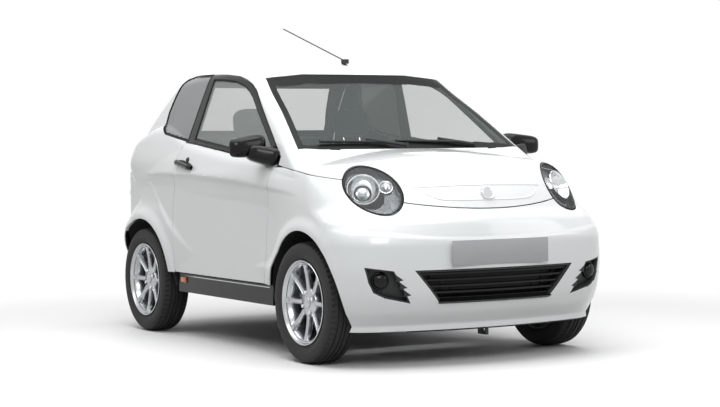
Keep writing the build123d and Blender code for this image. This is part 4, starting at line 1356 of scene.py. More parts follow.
# ------------------------------------------------------------------ glass
@dataclass
class Glazing:
    """Windows: tinted panes, most with a painted haze reflection in their pale colour, with a black printed border, in
    rubber.
    """

    shell: Shell
    shop: Shop
    sink: float = 0.003
    pane_wall: float = 0.004
    play: float = 0.0015
    frit: float = 0.030

    def pane(self, master: Master, keep: Test, opening: Points, axis: str, where: Test | None, name: str, body: str,
             border: Points, mirror: bool = False, whole: bool = False, nodes: list | tuple = (),
             glass: str = "tinted_glass_painted_haze") -> None:
        """Cuts one pane, prints its border and makes the object.

        Args:
            master: sheet to cut from.
            keep: rough test on points.
            opening: outline of the hole that it fills.
            axis: line of sight of the outline.
            where: test that limits the cut to one side of the car.
            name: object name.
            body: body that it rides on.
            border: printed border's inner outline.
            mirror: True for the right side's copy.
            whole: True adds the other half.
            nodes: CAD nodes that it stands for.
            glass: finish of the clear part; the default one's pale colour is a painted haze reflection.
        """
        bm = master.sheet(keep)
        trim(bm, drawn_back(opening, self.play), axis, True, where)
        trim(bm, border, axis, None, where)
        if whole:
            bmesh.ops.mirror(bm, geom=bm.verts[:] + bm.edges[:] + bm.faces[:], axis="Y", merge_dist=0.0008)
        if mirror:
            bmesh.ops.transform(bm, matrix=MIRROR, verts=bm.verts)
        thicken(bm, self.pane_wall, 0.0, self.sink)
        a, b = {"x": (1, 2), "y": (0, 2)}[axis]
        for face in bm.faces:
            c = face.calc_center_median()
            u = abs(c[a]) if whole else c[a]
            face.material_index = 0 if contains(border, u, c[b]) else 1
        self.shop.piece(bm, name, body, [glass, "ceramic_frit"], "window_glass", nodes)

    def build(self) -> None:
        """Builds all the panes; the pale colour of the door, tailgate and windscreen glass is a painted haze
        reflection.
        """
        shell = self.shell
        for side in Side:
            name, mirror = side.name.lower(), side is Side.RIGHT
            self.pane(shell.over, shell.within(-0.70, 0.62, 0.40, 0.85, 1.42), WINDOW, "y", None,
                      f"door_pane_{name}", f"door_{name}", drawn_back(WINDOW, 0.010), mirror,
                      nodes=[f"door_glass_{name}"])
            self.pane(shell.corner, shell.within(-1.0, -0.40, 0.40, 0.95, 1.42), QUARTER_FRAME, "y", None,
                      f"quarter_pane_{name}", "body", drawn_back(QUARTER_FRAME, 0.011), mirror,
                      nodes=["quarter_glass"] if mirror else [], glass="privacy_glass")
            self.frame(name, mirror)
        half = [(-0.02, WINDSCREEN[-1][1] + 0.005), (-0.02, WINDSCREEN[0][1])] + list(WINDSCREEN)
        inner = [(-0.02, 1.308), (-0.02, 1.010), (0.300, 1.006), (0.586, 0.994), (0.486, 1.288), (0.300, 1.303)]
        # the windscreen's pale glass colour is a painted haze reflection
        self.pane(shell.over, shell.within(0.0, 0.75, -0.01, 0.93, 1.42), half, "x", None, "windscreen_pane", "body",
                  inner, whole=True, nodes=["windscreen"], glass="laminated_glass_painted_haze")
        self.pane(shell.tail, shell.within(-1.4, -0.80, -2, 1.0, 1.402), both(TAILGATE_GLASS), "x", None,
                  "tailgate_pane", "tailgate", drawn_back(both(TAILGATE_GLASS), 0.022), nodes=["tailgate_glass"])

    def frame(self, name: str, mirror: bool) -> None:
        """Black window frame on the upper door.

        Args:
            name: side's name.
            mirror: True for the right side.
        """
        shell = self.shell
        above = [BELT_FRONT, (0.546, 0.942)] + DOOR_HEAD + [BELT_REAR]
        bm = shell.over.sheet(shell.within(-0.60, 0.62, 0.40, 0.86, 1.42))
        trim(bm, drawn_back(above, shell.gap), "y", True)
        trim(bm, WINDOW, "y", False)
        if mirror:
            bmesh.ops.transform(bm, matrix=MIRROR, verts=bm.verts)
        thicken(bm, 0.020, 0.0015)
        self.shop.piece(bm, f"door_frame_{name}", f"door_{name}", "gloss_black_abs", "black_trim")


# ------------------------------------------------------------------ wheels
@dataclass
class Wheel:
    """Road wheel: cast eight-spoke rim, bolts, brake and treaded tyre. Lengths in metres."""

    shop: Shop
    spokes: int = 8
    spoke_root: float = 0.036
    spoke_tip: float = 0.176
    bolt_circle: float = 0.049
    pitches: int = 64
    tread_from: float = 0.272
    block_depth: float = 0.0055
    rib_depth: float = 0.003
    rib_band: tuple = (0.014, 0.036)
    wheel_y: float = 0.652

    RIM = [(0.178, 0.0575), (0.188, 0.064), (0.1935, 0.0675), (0.195, 0.0695), (0.1935, 0.0715), (0.190, 0.0712),
           (0.186, 0.0670), (0.182, 0.0590), (0.177, 0.0520), (0.173, 0.0450), (0.168, 0.0320), (0.164, 0.010),
           (0.162, -0.030), (0.168, -0.052), (0.176, -0.062), (0.190, -0.069), (0.195, -0.070), (0.195, -0.066),
           (0.178, -0.0575), (0.178, -0.044), (0.168, -0.030), (0.170, 0.030), (0.178, 0.044)]
    TYRE = [(0.1783, -0.0577), (0.1783, 0.0577), (0.197, 0.0630), (0.2005, 0.0668), (0.206, 0.0690),
            (0.209, 0.0712), (0.2105, 0.0705), (0.220, 0.0742), (0.232, 0.0765), (0.240, 0.0770), (0.2415, 0.0764),
            (0.243, 0.0768), (0.254, 0.0757), (0.263, 0.0722), (0.2695, 0.0670), (0.2738, 0.0610), (0.2756, 0.0540),
            (0.2768, 0.0460), (0.2775, 0.0385), (0.2715, 0.0375), (0.2715, 0.0325), (0.2778, 0.0315),
            (0.2780, 0.0130), (0.2718, 0.0120), (0.2718, 0.0060), (0.2780, 0.0050)]
    SHOULDER = (0.0385, 0.0615)

    def rim(self) -> BMesh:
        """The rim's barrel, hub and spokes.

        Returns:
            A bmesh.
        """
        parts = [lathe(self.RIM, 96)]
        hub = [(0.0145, 0.0465), (0.026, 0.0470), (0.0275, 0.0455), (0.0275, 0.0425), (0.0300, 0.0415),
               (0.058, 0.0400), (0.064, 0.0370), (0.068, 0.0300), (0.068, 0.004), (0.0145, 0.004)]
        parts.append(lathe(hub, 64))
        for i in range(self.spokes):
            parts.append(self.spoke(2 * math.pi * (i + 0.5) / self.spokes))
        return merge(parts)

    def spoke(self, angle: float) -> BMesh:
        """One spoke: a tapered bar with a sunken face, dished towards the hub.

        Args:
            angle: turn round the axle in radians.

        Returns:
            A bmesh.
        """
        bm = bmesh.new()
        bmesh.ops.create_cube(bm, size=1.0)
        long_edges = [e for e in bm.edges if abs(e.verts[0].co.x - e.verts[1].co.x) > 0.5]
        bmesh.ops.subdivide_edges(bm, edges=long_edges, cuts=9, use_grid_fill=True)
        top = [f for f in bm.faces if f.normal.y > 0.9]
        bmesh.ops.inset_region(bm, faces=top, thickness=0.20, depth=0.0, use_even_offset=False)
        inner = [f for f in bm.faces if f.normal.y > 0.9 and all(abs(v.co.z) < 0.45 for v in f.verts)
                 and all(abs(v.co.x) < 0.45 for v in f.verts)]
        for vert in {v for f in inner for v in f.verts}:
            vert.co.y -= 0.14
        for vert in bm.verts:
            t = vert.co.x + 0.5
            r = self.spoke_root + t * (self.spoke_tip - self.spoke_root)
            width = 0.030 - 0.030 * t + 0.024 * t * t
            crown = 0.0395 + 0.020 * t * t
            depth = 0.026 - 0.008 * t
            spread = 1.0 + 0.35 * (0.5 - vert.co.y)
            vert.co = (r, crown + (vert.co.y - 0.5) * depth, vert.co.z * width * spread)
        edges = [e for e in bm.edges if len(e.link_faces) == 2 and e.calc_face_angle(0) > 0.6]
        bmesh.ops.bevel(bm, geom=edges, offset=0.0014, segments=2, profile=0.5, affect="EDGES", clamp_overlap=True,
                        material=-1)
        bmesh.ops.transform(bm, matrix=Matrix.Rotation(angle, 4, "Y"), verts=bm.verts)
        return bm

    def bolt_places(self) -> list:
        """Moves from the hub's centre to each bolt.

        Returns:
            A list of matrices.
        """
        angles = [math.pi / 4 + i * math.pi / 2 for i in range(4)]
        return [Matrix.Translation((self.bolt_circle * math.cos(a), 0, self.bolt_circle * math.sin(a)))
                for a in angles]

    def bolts(self) -> BMesh:
        """Four hexagonal bolts in raised sockets.

        Returns:
            A bmesh.
        """
        parts = []
        for place in self.bolt_places():
            bolt = bmesh.new()
            bmesh.ops.create_cone(bolt, cap_ends=True, segments=6, radius1=0.0095, radius2=0.0085, depth=0.010)
            bmesh.ops.bevel(bolt, geom=bolt.edges[:], offset=0.001, segments=2, profile=0.5, affect="EDGES",
                            material=-1)
            seat = place @ Matrix.Translation((0, 0.042, 0)) @ Matrix.Rotation(-math.pi / 2, 4, "X")
            bmesh.ops.transform(bolt, matrix=seat, verts=bolt.verts)
            parts.append(bolt)
        return merge(parts)

    def sockets(self) -> BMesh:
        """Dark conical seats round the bolts."""
        ring = [(0.0110, 0.0395), (0.0145, 0.0412), (0.0155, 0.0408), (0.0155, 0.0390)]
        return merge([moved(lathe(ring, 32), place) for place in self.bolt_places()])

    def cap(self) -> BMesh:
        """Bare domed centre cap."""
        return lathe([(0.0, 0.0510), (0.012, 0.0505), (0.021, 0.0488), (0.0255, 0.0466), (0.0255, 0.043),
                      (0.0, 0.043)], 48, closed=False)

    def tyre(self) -> BMesh:
        """Tyre with three ribs, shoulder blocks and plain sidewalls.

        Returns:
            A bmesh.
        """
        half = self.TYRE[1:]
        profile = half + [(r, -y) for r, y in reversed(half)]
        stations = self.pitches * 4
        bm = lathe(profile, stations)
        step = 2 * math.pi / stations
        low, high = self.SHOULDER
        inner, outer = self.rib_band
        for vert in bm.verts:
            r = math.hypot(vert.co.x, vert.co.z)
            if r < self.tread_from:
                continue
            station = round(math.atan2(vert.co.z, vert.co.x) / step) % 4
            y = abs(vert.co.y)
            wide = low <= y <= high
            if wide and station in (0, 1) or inner < y < outer and station == 2:
                k = (r - (self.block_depth if wide else self.rib_depth)) / r
                vert.co.x *= k
                vert.co.z *= k
        return bm

    def brake(self) -> BMesh:
        """Disc on its hat.

        Returns:
            A bmesh.
        """
        parts = [lathe([(0.050, -0.0130), (0.096, -0.0130), (0.0965, -0.0140), (0.0965, -0.0220), (0.096, -0.0230),
                        (0.050, -0.0230)], 72),
                 lathe([(0.0145, 0.011), (0.050, 0.011), (0.054, 0.007), (0.054, -0.0228), (0.0145, -0.0228)], 64)]
        return merge(parts)

    def build(self) -> None:
        """Builds the four wheels."""
        for end, x in (("front", FRONT_X), ("rear", REAR_X)):
            for side in Side:
                name = f"{end}_{side.name.lower()}"
                place = Matrix.Translation((x, side.value * self.wheel_y, WHEEL_Z))
                place = place @ Matrix.Scale(side.value, 4, (0, 1, 0)) @ Matrix.Rotation(math.radians(22.5), 4, "Y")
                body = f"wheel_{name}"
                self.shop.piece(moved(self.rim(), place), f"rim_cast_{name}", body, "silver_alloy", "wheel_alloy",
                                [f"rim_{name}"], 35)
                self.shop.piece(moved(self.bolts(), place), f"bolts_{name}", body, "plated_reflector", "wheel_alloy")
                self.shop.piece(moved(self.sockets(), place), f"bolt_seats_{name}", body, "gloss_black_abs",
                                "black_trim")
                self.shop.piece(moved(self.cap(), place), f"centre_cap_{name}", body, "silver_alloy", "wheel_alloy")
                self.shop.piece(moved(self.brake(), place), f"brake_disc_{name}", body, "turned_iron", "cast_iron")
                self.shop.piece(moved(self.tyre(), place), f"tyre_tread_{name}", body, "tyre_rubber", "tyre_rubber",
                                [f"tyre_{name}"], 32)


# ------------------------------------------------------------------ lamps
@dataclass
class Headlamp:
    """Round headlamp: ringed reflector, indicator pocket, dark rim and clear cover. Lengths in metres."""

    shop: Shop
    shell: Shell
    centre_y: float = LAMP[0]
    centre_z: float = LAMP[1]
    radius: float = LAMP[2]
    main_bowl: tuple = (0.541, 0.792)
    indicator: tuple = (0.446, 0.800)
    sink: float = 0.030
    rib_pitch: float = 0.011
    rib_height: float = 0.0012

    def build(self) -> None:
        """Builds both lamps."""
        for side in Side:
            name, s = side.name.lower(), side.value
            self.cover(name, s)
            self.inside(name, s)

    def cover(self, name: str, s: int) -> None:
        """Clear outer cover in line with the body.

        Args:
            name: side's name.
            s: sign of the side.
        """
        bm = self.shell.over.sheet(self.shell.within(0.90, 1.4, 0.36, 0.66, 0.95))
        trim(bm, circle(LAMP[:2], self.radius - 0.0015, 72), "x", True)
        mirrored(bm, s)
        thicken(bm, 0.003, 0.0, 0.0015)
        self.shop.piece(bm, f"headlamp_cover_{name}", "body", "clear_polycarbonate", "clear_lens",
                        ["headlamp_lenses"] if s < 0 else [])

    def frame_at(self, s: int, y: float, z: float, sink: float) -> Matrix:
        """Matrix of a bowl whose axis follows the surface's mean direction, sunk below the surface.

        Args:
            s: sign of the side.
            y: crosswise place.
            z: height.
            sink: how far inside the surface.

        Returns:
            The matrix.
        """
        axis = Vector((0.80, 0.40 * s, 0.45)).normalized()
        surface = Surface(self.shell.form)
        point = surface.front([(s * y, z)])[0]
        turn = axis.to_track_quat("Y", "Z").to_matrix().to_4x4()
        return Matrix.Translation(point - Vector((1, 0, 0)) * sink) @ turn

    def inside(self, name: str, s: int) -> None:
        """Rim, main reflector with its bright ring and bulb shield, and the indicator behind.

        Args:
            name: side's name.
            s: sign of the side.
        """
        surface = Surface(self.shell.form)
        ring = [(s * (self.centre_y + (self.radius - 0.004) * math.cos(a)),
                 self.centre_z + (self.radius - 0.004) * math.sin(a))
                for a in np.linspace(0, 2 * math.pi, 73)[:-1]]
        outer = surface.front(ring, -0.004)
        bm = cord(outer, 0.0042, closed=True)
        self.shop.piece(bm, f"headlamp_rim_{name}", "body", "gloss_black_abs", "black_trim")
        main = self.frame_at(s, *self.main_bowl, self.sink)
        bowl = [(0.074, 0.000), (0.076, 0.004), (0.0745, 0.008), (0.070, 0.008), (0.067, 0.002), (0.062, -0.010),
                (0.053, -0.024), (0.040, -0.036), (0.024, -0.043), (0.0, -0.046), (0.0, -0.049), (0.026, -0.046),
                (0.043, -0.039), (0.057, -0.026), (0.066, -0.010)]
        self.shop.piece(moved(lathe(bowl, 64), main), f"main_reflector_{name}", "body", "plated_reflector",
                        "clear_lens", ["headlamp_bowls"] if s < 0 else [])
        shield = [(0.0, -0.006), (0.010, -0.007), (0.016, -0.011), (0.018, -0.018), (0.016, -0.030), (0.0, -0.040)]
        self.shop.piece(moved(lathe(shield, 40, closed=False), main), f"bulb_shield_{name}", "body",
                        "plated_reflector", "clear_lens")
        band = [(0.030, -0.0385), (0.036, -0.034), (0.039, -0.0345), (0.032, -0.0405)]
        self.shop.piece(moved(lathe(band, 48), main), f"reflector_step_{name}", "body", "gloss_black_abs",
                        "black_trim")
        self.pocket(name, s)

    def pocket(self, name: str, s: int) -> None:
        """Ribbed silver bezel that fills the lamp round the bowls.

        Args:
            name: side's name.
            s: sign of the side.
        """
        bm = self.shell.over.sheet(self.shell.within(0.90, 1.4, 0.36, 0.66, 0.95))
        trim(bm, circle(LAMP[:2], self.radius - 0.003, 60), "x", True)
        mirrored(bm, s)
        trim(bm, circle((s * self.main_bowl[0], self.main_bowl[1]), 0.070, 48), "x", False)
        thicken(bm, 0.002, 0.0, self.sink)
        for vert in bm.verts:
            k = math.sin((vert.co.z - vert.co.y * s * 0.4) * 2 * math.pi / self.rib_pitch)
            vert.co.x += self.rib_height * k
        self.shop.piece(bm, f"lamp_bezel_{name}", "body", "satin_bezel", "clear_lens", (), 20)
        cup = self.frame_at(s, *self.indicator, self.sink)
        bowl = [(0.030, 0.004), (0.032, 0.006), (0.031, 0.009), (0.028, 0.008), (0.026, 0.0), (0.018, -0.010),
                (0.0, -0.014), (0.0, -0.017), (0.020, -0.013)]
        self.shop.piece(moved(lathe(bowl, 40), cup), f"indicator_bowl_{name}", "body", "plated_reflector",
                        "clear_lens")
        bulb = [(0.0, 0.006), (0.005, 0.005), (0.008, 0.001), (0.008, -0.008), (0.0, -0.012)]
        self.shop.piece(moved(lathe(bulb, 24, closed=False), cup), f"indicator_bulb_{name}", "body",
                        "plated_reflector", "clear_lens")


@dataclass
class TailLamp:
    """Round red tail lamp with a ribbed lens and a plated ring."""

    shop: Shop
    shell: Shell
    ribs: int = 5

    def build(self) -> None:
        """Builds both lamps."""
        y, z, r = TAIL_LAMP
        surface = Surface(self.shell.form)
        for side in Side:
            name, s = side.name.lower(), side.value
            bm = self.shell.corner.sheet(self.shell.within(-1.5, -1.05, 0.50, 0.60, 0.88))
            trim(bm, circle((y, z), r - 0.001, 60), "x", True)
            mirrored(bm, s)
            thicken(bm, 0.012, 0.002)
            self.shop.piece(bm, f"tail_lens_{name}", "body", "red_lens", "red_lens",
                            ["tail_lamps"] if s < 0 else [])
            for i in range(1, self.ribs):
                q = r * i / self.ribs
                line = [(s * (y + q * math.cos(a)), z + q * math.sin(a)) for a in np.linspace(0, 2 * math.pi, 49)[:-1]]
                ring = cord(surface.back(line, 0.0), 0.0010 if i < self.ribs - 1 else 0.0018, closed=True)
                finish = "plated_reflector" if i == self.ribs - 1 else "red_lens"
                self.shop.piece(ring, f"tail_ring_{i}_{name}", "body", finish, "red_lens")


# ------------------------------------------------------------------ nose trim
@dataclass
class NoseTrim:
    """Intake grille, fog lamp recesses, front plate, mouldings and the bare badge disc."""

    shop: Shop
    shell: Shell
    slats: int = 5
    slat_thick: float = 0.009
    depth: float = 0.052
    plate_z: float = 0.512
    fins: int = 3
    fin_pitch: float = 0.034
    fin_slant: float = 0.0205

    def build(self) -> None:
        """Builds the pieces."""
        self.grille()
        for side in Side:
            self.recess(side.name.lower(), side.value)
        self.plates()
        self.mouldings()

    def low_sheet(self, cut_x: float) -> BMesh:
        """The lower nose's sheet ahead of cut_x."""
        return self.shell.nose.sheet(lambda p: (p[:, 0] > cut_x) & (p[:, 2] > 0.24) & (p[:, 2] < 0.50))

    def inner_sheet(self, outline: Points, sink: float, wall: float, cut_x: float = 1.0) -> BMesh:
        """Sheet cut to an outline on the nose, sunk below the skin.

        Args:
            outline: (y, z) corners.
            sink: depth below the skin.
            wall: thickness.
            cut_x: rear limit.

        Returns:
            A bmesh.
        """
        bm = self.low_sheet(cut_x)
        trim(bm, outline, "x", True)
        thicken(bm, wall, 0.0, sink)
        return bm

    def grille(self) -> None:
        """Black slats in a sunk frame, with the radiator behind."""
        outline = both(INTAKE)
        self.shop.piece(self.inner_sheet(outline, self.depth, 0.004), "grille_back", "body", "black_polypropylene",
                        "black_trim", ["intake_grille"])
        parts = []
        wall = self.low_sheet(1.0)
        trim(wall, drawn_back(outline, -0.004), "x", True)
        trim(wall, drawn_back(outline, 0.010), "x", False)
        thicken(wall, self.depth - 0.002, 0.001, 0.004)
        self.shop.piece(wall, "grille_frame", "body", "black_polypropylene", "black_trim")
        low, high = INTAKE[1][1], INTAKE[0][1]
        for i in range(self.slats):
            z = low + (high - low) * (i + 0.75) / (self.slats + 0.4)
            band = [(0.5, z - self.slat_thick / 2), (0.5, z + self.slat_thick / 2), (-0.5, z + self.slat_thick / 2),
                    (-0.5, z - self.slat_thick / 2)]
            bm = self.shell.nose.sheet(lambda p, z=z: (p[:, 0] > 1.0) & (abs(p[:, 2] - z) < 0.02))
            trim(bm, drawn_back(outline, 0.004), "x", True)
            trim(bm, band, "x", True)
            thicken(bm, 0.026, 0.0022, 0.010)
            parts.append(bm)
        self.shop.piece(merge(parts), "grille_slats", "body", "gloss_black_abs", "black_trim")
        bars = []
        for y in np.linspace(-0.33, 0.33, 13):
            bars.append(block((0.010, 0.003, 0.13), (1.300, y, 0.365), 0.001, 1))
        self.shop.piece(merge(bars), "radiator_fins", "body", "chassis_paint", "black_trim")

    def recess(self, name: str, s: int) -> None:
        """Black pocket with a round lamp blank and three fins at its inner edge.

        Args:
            name: side's name.
            s: sign of the side.
        """
        outline = [(s * y, z) for y, z in FOG_RECESS]
        self.shop.piece(self.inner_sheet(outline, 0.030, 0.003, 0.95), f"fog_pocket_{name}", "body",
                        "black_polypropylene", "black_trim")
        wall = self.low_sheet(0.95)
        trim(wall, drawn_back(outline, -0.003), "x", True)
        trim(wall, drawn_back(outline, 0.006), "x", False)
        thicken(wall, 0.030, 0.001, 0.003)
        self.shop.piece(wall, f"fog_frame_{name}", "body", "black_polypropylene", "black_trim")
        surface = Surface(self.shell.form)
        point = surface.front([(s * 0.572, 0.398)])[0]
        axis = Vector((0.94, 0.30 * s, 0.0)).normalized()
        place = Matrix.Translation(point - Vector((0.016, 0, 0))) @ axis.to_track_quat("Y", "Z").to_matrix().to_4x4()
        dome = [(0.0, 0.012), (0.015, 0.011), (0.026, 0.007), (0.032, 0.001), (0.034, -0.006), (0.038, -0.007),
                (0.040, -0.010), (0.040, -0.018), (0.0, -0.018)]
        self.shop.piece(moved(lathe(dome, 48, closed=False), place), f"fog_blank_{name}", "body", "gloss_black_abs",
                        "black_trim")
        fins = []
        for i in range(self.fins):
            z = 0.407 - i * self.fin_pitch
            root = 0.512 - i * self.fin_slant
            tip = root - 0.034
            corners = [(s * root, z + 0.015), (s * root, z - 0.014), (s * tip, z - 0.008)]
            bm = self.low_sheet(0.95)
            trim(bm, corners, "x", True)
            thicken(bm, 0.008, 0.0008, -0.0012)
            fins.append(bm)
        self.shop.piece(merge(fins), f"fog_fins_{name}", "body", "black_polypropylene", "black_trim")

    def plates(self) -> None:
        """Blank front plate."""
        sheet = block((0.0016, 0.520, 0.110), (NOSE + 0.0020, 0, self.plate_z), 0.0006, 2)
        self.shop.piece(sheet, "plate_front", "body", "plate_sheet", "plate_white", ["number_plates"])

    def mouldings(self) -> None:
        """Two fine raised lines and the bare badge disc on the bonnet's nose."""
        surface = Surface(self.shell.form)
        upper = [(y, 0.807 - 0.07 * y * y) for y in np.linspace(-0.345, 0.345, 40)]
        self.shop.piece(cord(surface.front(upper, -0.0010), 0.0036), "moulding_upper", "bonnet", "white_lacquer",
                        "body_white")
        lower = []
        for t in np.linspace(-1, 1, 50):
            y = 0.300 * math.copysign(abs(t) ** 0.85, t)
            lower.append((y, 0.741 + 0.033 * abs(t) ** 7))
        self.shop.piece(cord(surface.front(lower, -0.0010), 0.0036), "moulding_lower", "bonnet", "white_lacquer",
                        "body_white")
        point = surface.front([(0.0, 0.772)], 0.0065)[0]
        place = Matrix.Translation(point) @ surface.normal(point).to_track_quat("Y", "Z").to_matrix().to_4x4()
        disc = [(0.0, 0.0042), (0.020, 0.0040), (0.028, 0.0030), (0.0300, 0.0046), (0.0330, 0.0046),
                (0.0345, 0.0020), (0.0345, -0.004), (0.0, -0.004)]
        self.shop.piece(moved(lathe(disc, 64, closed=False), place), "badge_disc", "bonnet", "plated_reflector",
                        "body_white")


# ------------------------------------------------------------------ mirrors and door furniture
@dataclass
class SideTrim:
    """Mirrors, handles, locks, belt seals, sill strips and side markers. Lengths in metres, angles in degrees."""

    shop: Shop
    shell: Shell
    housing_place: tuple = (0.416, 0.787, 0.990)
    housing_turn: float = -12.0
    housing_square: float = 5.0
    foot_place: tuple = (0.460, 0.722, 0.949)
    handle_place: tuple = (-0.431, 0.900)
    handle_slope: float = -0.15
    lock_place: tuple = (-0.412, 0.924)
    strip_ends: tuple = (-0.596, 0.455)

    def build(self) -> None:
        """Builds the pieces of both sides."""
        for side in Side:
            name, s = side.name.lower(), side.value
            self.mirror(name, s)
            self.handle(name, s)
            self.seals(name, s)
            self.sill(name, s)

    def mirror(self, name: str, s: int) -> None:
        """Glossy aerofoil mirror housing on a foot at the window's corner.

        Args:
            name: side's name.
            s: sign of the side.
        """
        bm = bmesh.new()
        bmesh.ops.create_uvsphere(bm, u_segments=48, v_segments=28, radius=1.0)
        for vert in bm.verts:
            x, y, z = vert.co
            q = self.housing_square
            norm = (abs(x) ** 2.4 + abs(y) ** q + abs(z) ** q) ** (1 / q)
            x, y, z = x / norm, y / norm, z / norm
            taper = 1.0 - 0.22 * (y + 1) / 2
            vert.co = ((x if x > 0 else x * 0.25) * 0.056 * taper, y * 0.101, z * 0.057 * taper - 0.006 * y)
        glass_side = [f for f in bm.faces if f.normal.x < -0.85]
        bmesh.ops.inset_region(bm, faces=glass_side, thickness=0.004, depth=-0.003)
        for face in glass_side:
            face.material_index = 1
        turn = Matrix.Rotation(math.radians(self.housing_turn), 4, "Z")
        place = Matrix.Scale(s, 4, (0, 1, 0)) @ Matrix.Translation(self.housing_place) @ turn
        self.shop.piece(moved(bm, place), f"mirror_shell_{name}", f"door_{name}",
                        ["gloss_black_abs", "plated_reflector"], "black_trim", [f"mirror_{name}"])
        foot = bmesh.new()
        bmesh.ops.create_uvsphere(foot, u_segments=32, v_segments=18, radius=1.0)
        for vert in foot.verts:
            x, y, z = vert.co
            norm = (abs(x) ** 4 + abs(y) ** 4 + abs(z) ** 4) ** 0.25
            vert.co = (x / norm * (0.056 - 0.008 * y), y / norm * 0.080, z / norm * (0.042 - 0.006 * y))
        place = Matrix.Scale(s, 4, (0, 1, 0)) @ Matrix.Translation(self.foot_place)
        place = place @ Matrix.Rotation(math.radians(14), 4, "X") @ Matrix.Rotation(math.radians(24), 4, "Z")
        self.shop.piece(moved(foot, place), f"mirror_foot_{name}", f"door_{name}", "gloss_black_abs", "black_trim")
        sail = self.shell.over.sheet(self.shell.within(0.30, 0.62, 0.40, 0.85, 1.10))
        trim(sail, [(0.538, 0.908), (0.440, 0.998), (0.352, 0.935), (0.350, 0.926)], "y", True)
        mirrored(sail, s)
        thicken(sail, 0.010, 0.0015, -0.0035)
        self.shop.piece(sail, f"mirror_sail_{name}", f"door_{name}", "gloss_black_abs", "black_trim")

    def handle(self, name: str, s: int) -> None:
        """Black pull handle with its round lock above.

        Args:
            name: side's name.
            s: sign of the side.
        """
        surface = Surface(self.shell.form)
        mid_x, mid_z = self.handle_place
        line = [(mid_x + t, mid_z + self.handle_slope * t) for t in np.linspace(-0.097, 0.097, 14)]
        points = surface.side(line, s, 0.014)
        for point, end in ((points[0], surface.side(line[:1], s, -0.004)[0]),
                           (points[-1], surface.side(line[-1:], s, -0.004)[0])):
            point.y = (point.y + end.y) / 2
        grip = cord(points, 0.0135, 16)
        self.shop.piece(grip, f"handle_grip_{name}", f"door_{name}", "gloss_black_abs", "black_trim")
        cup = self.shell.over.sheet(self.shell.within(-0.66, -0.30, 0.40, 0.80, 1.0))
        oval = [(mid_x + 0.104 * math.cos(a),
                 mid_z + 0.019 * math.sin(a) + self.handle_slope * 0.104 * math.cos(a))
                for a in np.linspace(0, 2 * math.pi, 41)[:-1]]
        trim(cup, oval, "y", True)
        mirrored(cup, s)
        thicken(cup, 0.004, 0.0008, -0.0015)
        self.shop.piece(cup, f"handle_cup_{name}", f"door_{name}", "black_polypropylene", "black_trim")
        point = surface.side([self.lock_place], s)[0]
        place = Matrix.Translation(point) @ surface.normal(point).to_track_quat("Y", "Z").to_matrix().to_4x4()
        lock = [(0.0, 0.0050), (0.004, 0.0050), (0.0045, 0.0030), (0.009, 0.0055), (0.0135, 0.0050), (0.0155, 0.002),
                (0.0155, -0.006), (0.0, -0.006)]
        self.shop.piece(moved(lathe(lock, 32, closed=False), place), f"door_lock_{name}", f"door_{name}",
                        "gloss_black_abs", "black_trim")

    def seals(self, name: str, s: int) -> None:
        """Rubber along the belt and round the side glass.

        Args:
            name: side's name.
            s: sign of the side.
        """
        surface = Surface(self.shell.form)
        belt = [(-0.508, 1.017), (-0.30, 0.9975), (0.0, 0.9685), (0.30, 0.9385), (0.536, 0.9085)]
        line = [(p.x, p.y) for p in along([(x, z, 0) for x, z in belt], 0.02)]
        self.shop.piece(cord(surface.side(line, s, 0.0015), 0.0042), f"belt_seal_{name}", f"door_{name}",
                        "epdm_seal", "black_trim")
        ring = [(p.x, p.y) for p in along([(x, z, 0) for x, z in WINDOW + WINDOW[:1]], 0.015)][:-1]
        self.shop.piece(cord(surface.side(ring, s, -0.0012), 0.0030, closed=True), f"window_seal_{name}",
                        f"door_{name}", "epdm_seal", "black_trim")
        ring = [(p.x, p.y) for p in along([(x, z, 0) for x, z in QUARTER_FRAME + QUARTER_FRAME[:1]], 0.015)][:-1]
        self.shop.piece(cord(surface.side(ring, s, -0.0008), 0.0026, closed=True), f"quarter_seal_{name}", "body",
                        "epdm_seal", "black_trim")

    def sill(self, name: str, s: int) -> None:
        """Bright strip along the sill and the amber marker at its rear end.

        Args:
            name: side's name.
            s: sign of the side.
        """
        x0, x1 = self.strip_ends
        y = s * 0.6835
        strip = block((x1 - x0 - 0.02, 0.006, 0.006), ((x0 + x1) / 2, y, 0.322), 0.002, 2)
        self.shop.piece(strip, f"sill_strip_{name}", "body", "silver_alloy", "black_trim")
        marker = block((0.066, 0.014, 0.030), (-0.535, s * 0.684, 0.300), 0.004, 3)
        self.shop.piece(marker, f"side_marker_{name}", "body", "amber_lens", "red_lens")


# ------------------------------------------------------------------ interior
def soft_form(half: tuple, power: float = 4.0, cuts: int = 11) -> BMesh:
    """A rounded block with many faces, to be shaped into a pad.

    Args:
        half: half sizes.
        power: squareness; 2 is an ellipsoid.
        cuts: divisions along each edge.

    Returns:
        A bmesh centred on the origin.
    """
    bm = bmesh.new()
    bmesh.ops.create_cube(bm, size=2.0)
    bmesh.ops.subdivide_edges(bm, edges=bm.edges[:], cuts=cuts, use_grid_fill=True)
    for vert in bm.verts:
        co = vert.co
        norm = sum(abs(c) ** power for c in co) ** (1 / power)
        vert.co = Vector([c / norm * h for c, h in zip(co, half)])
    return bm


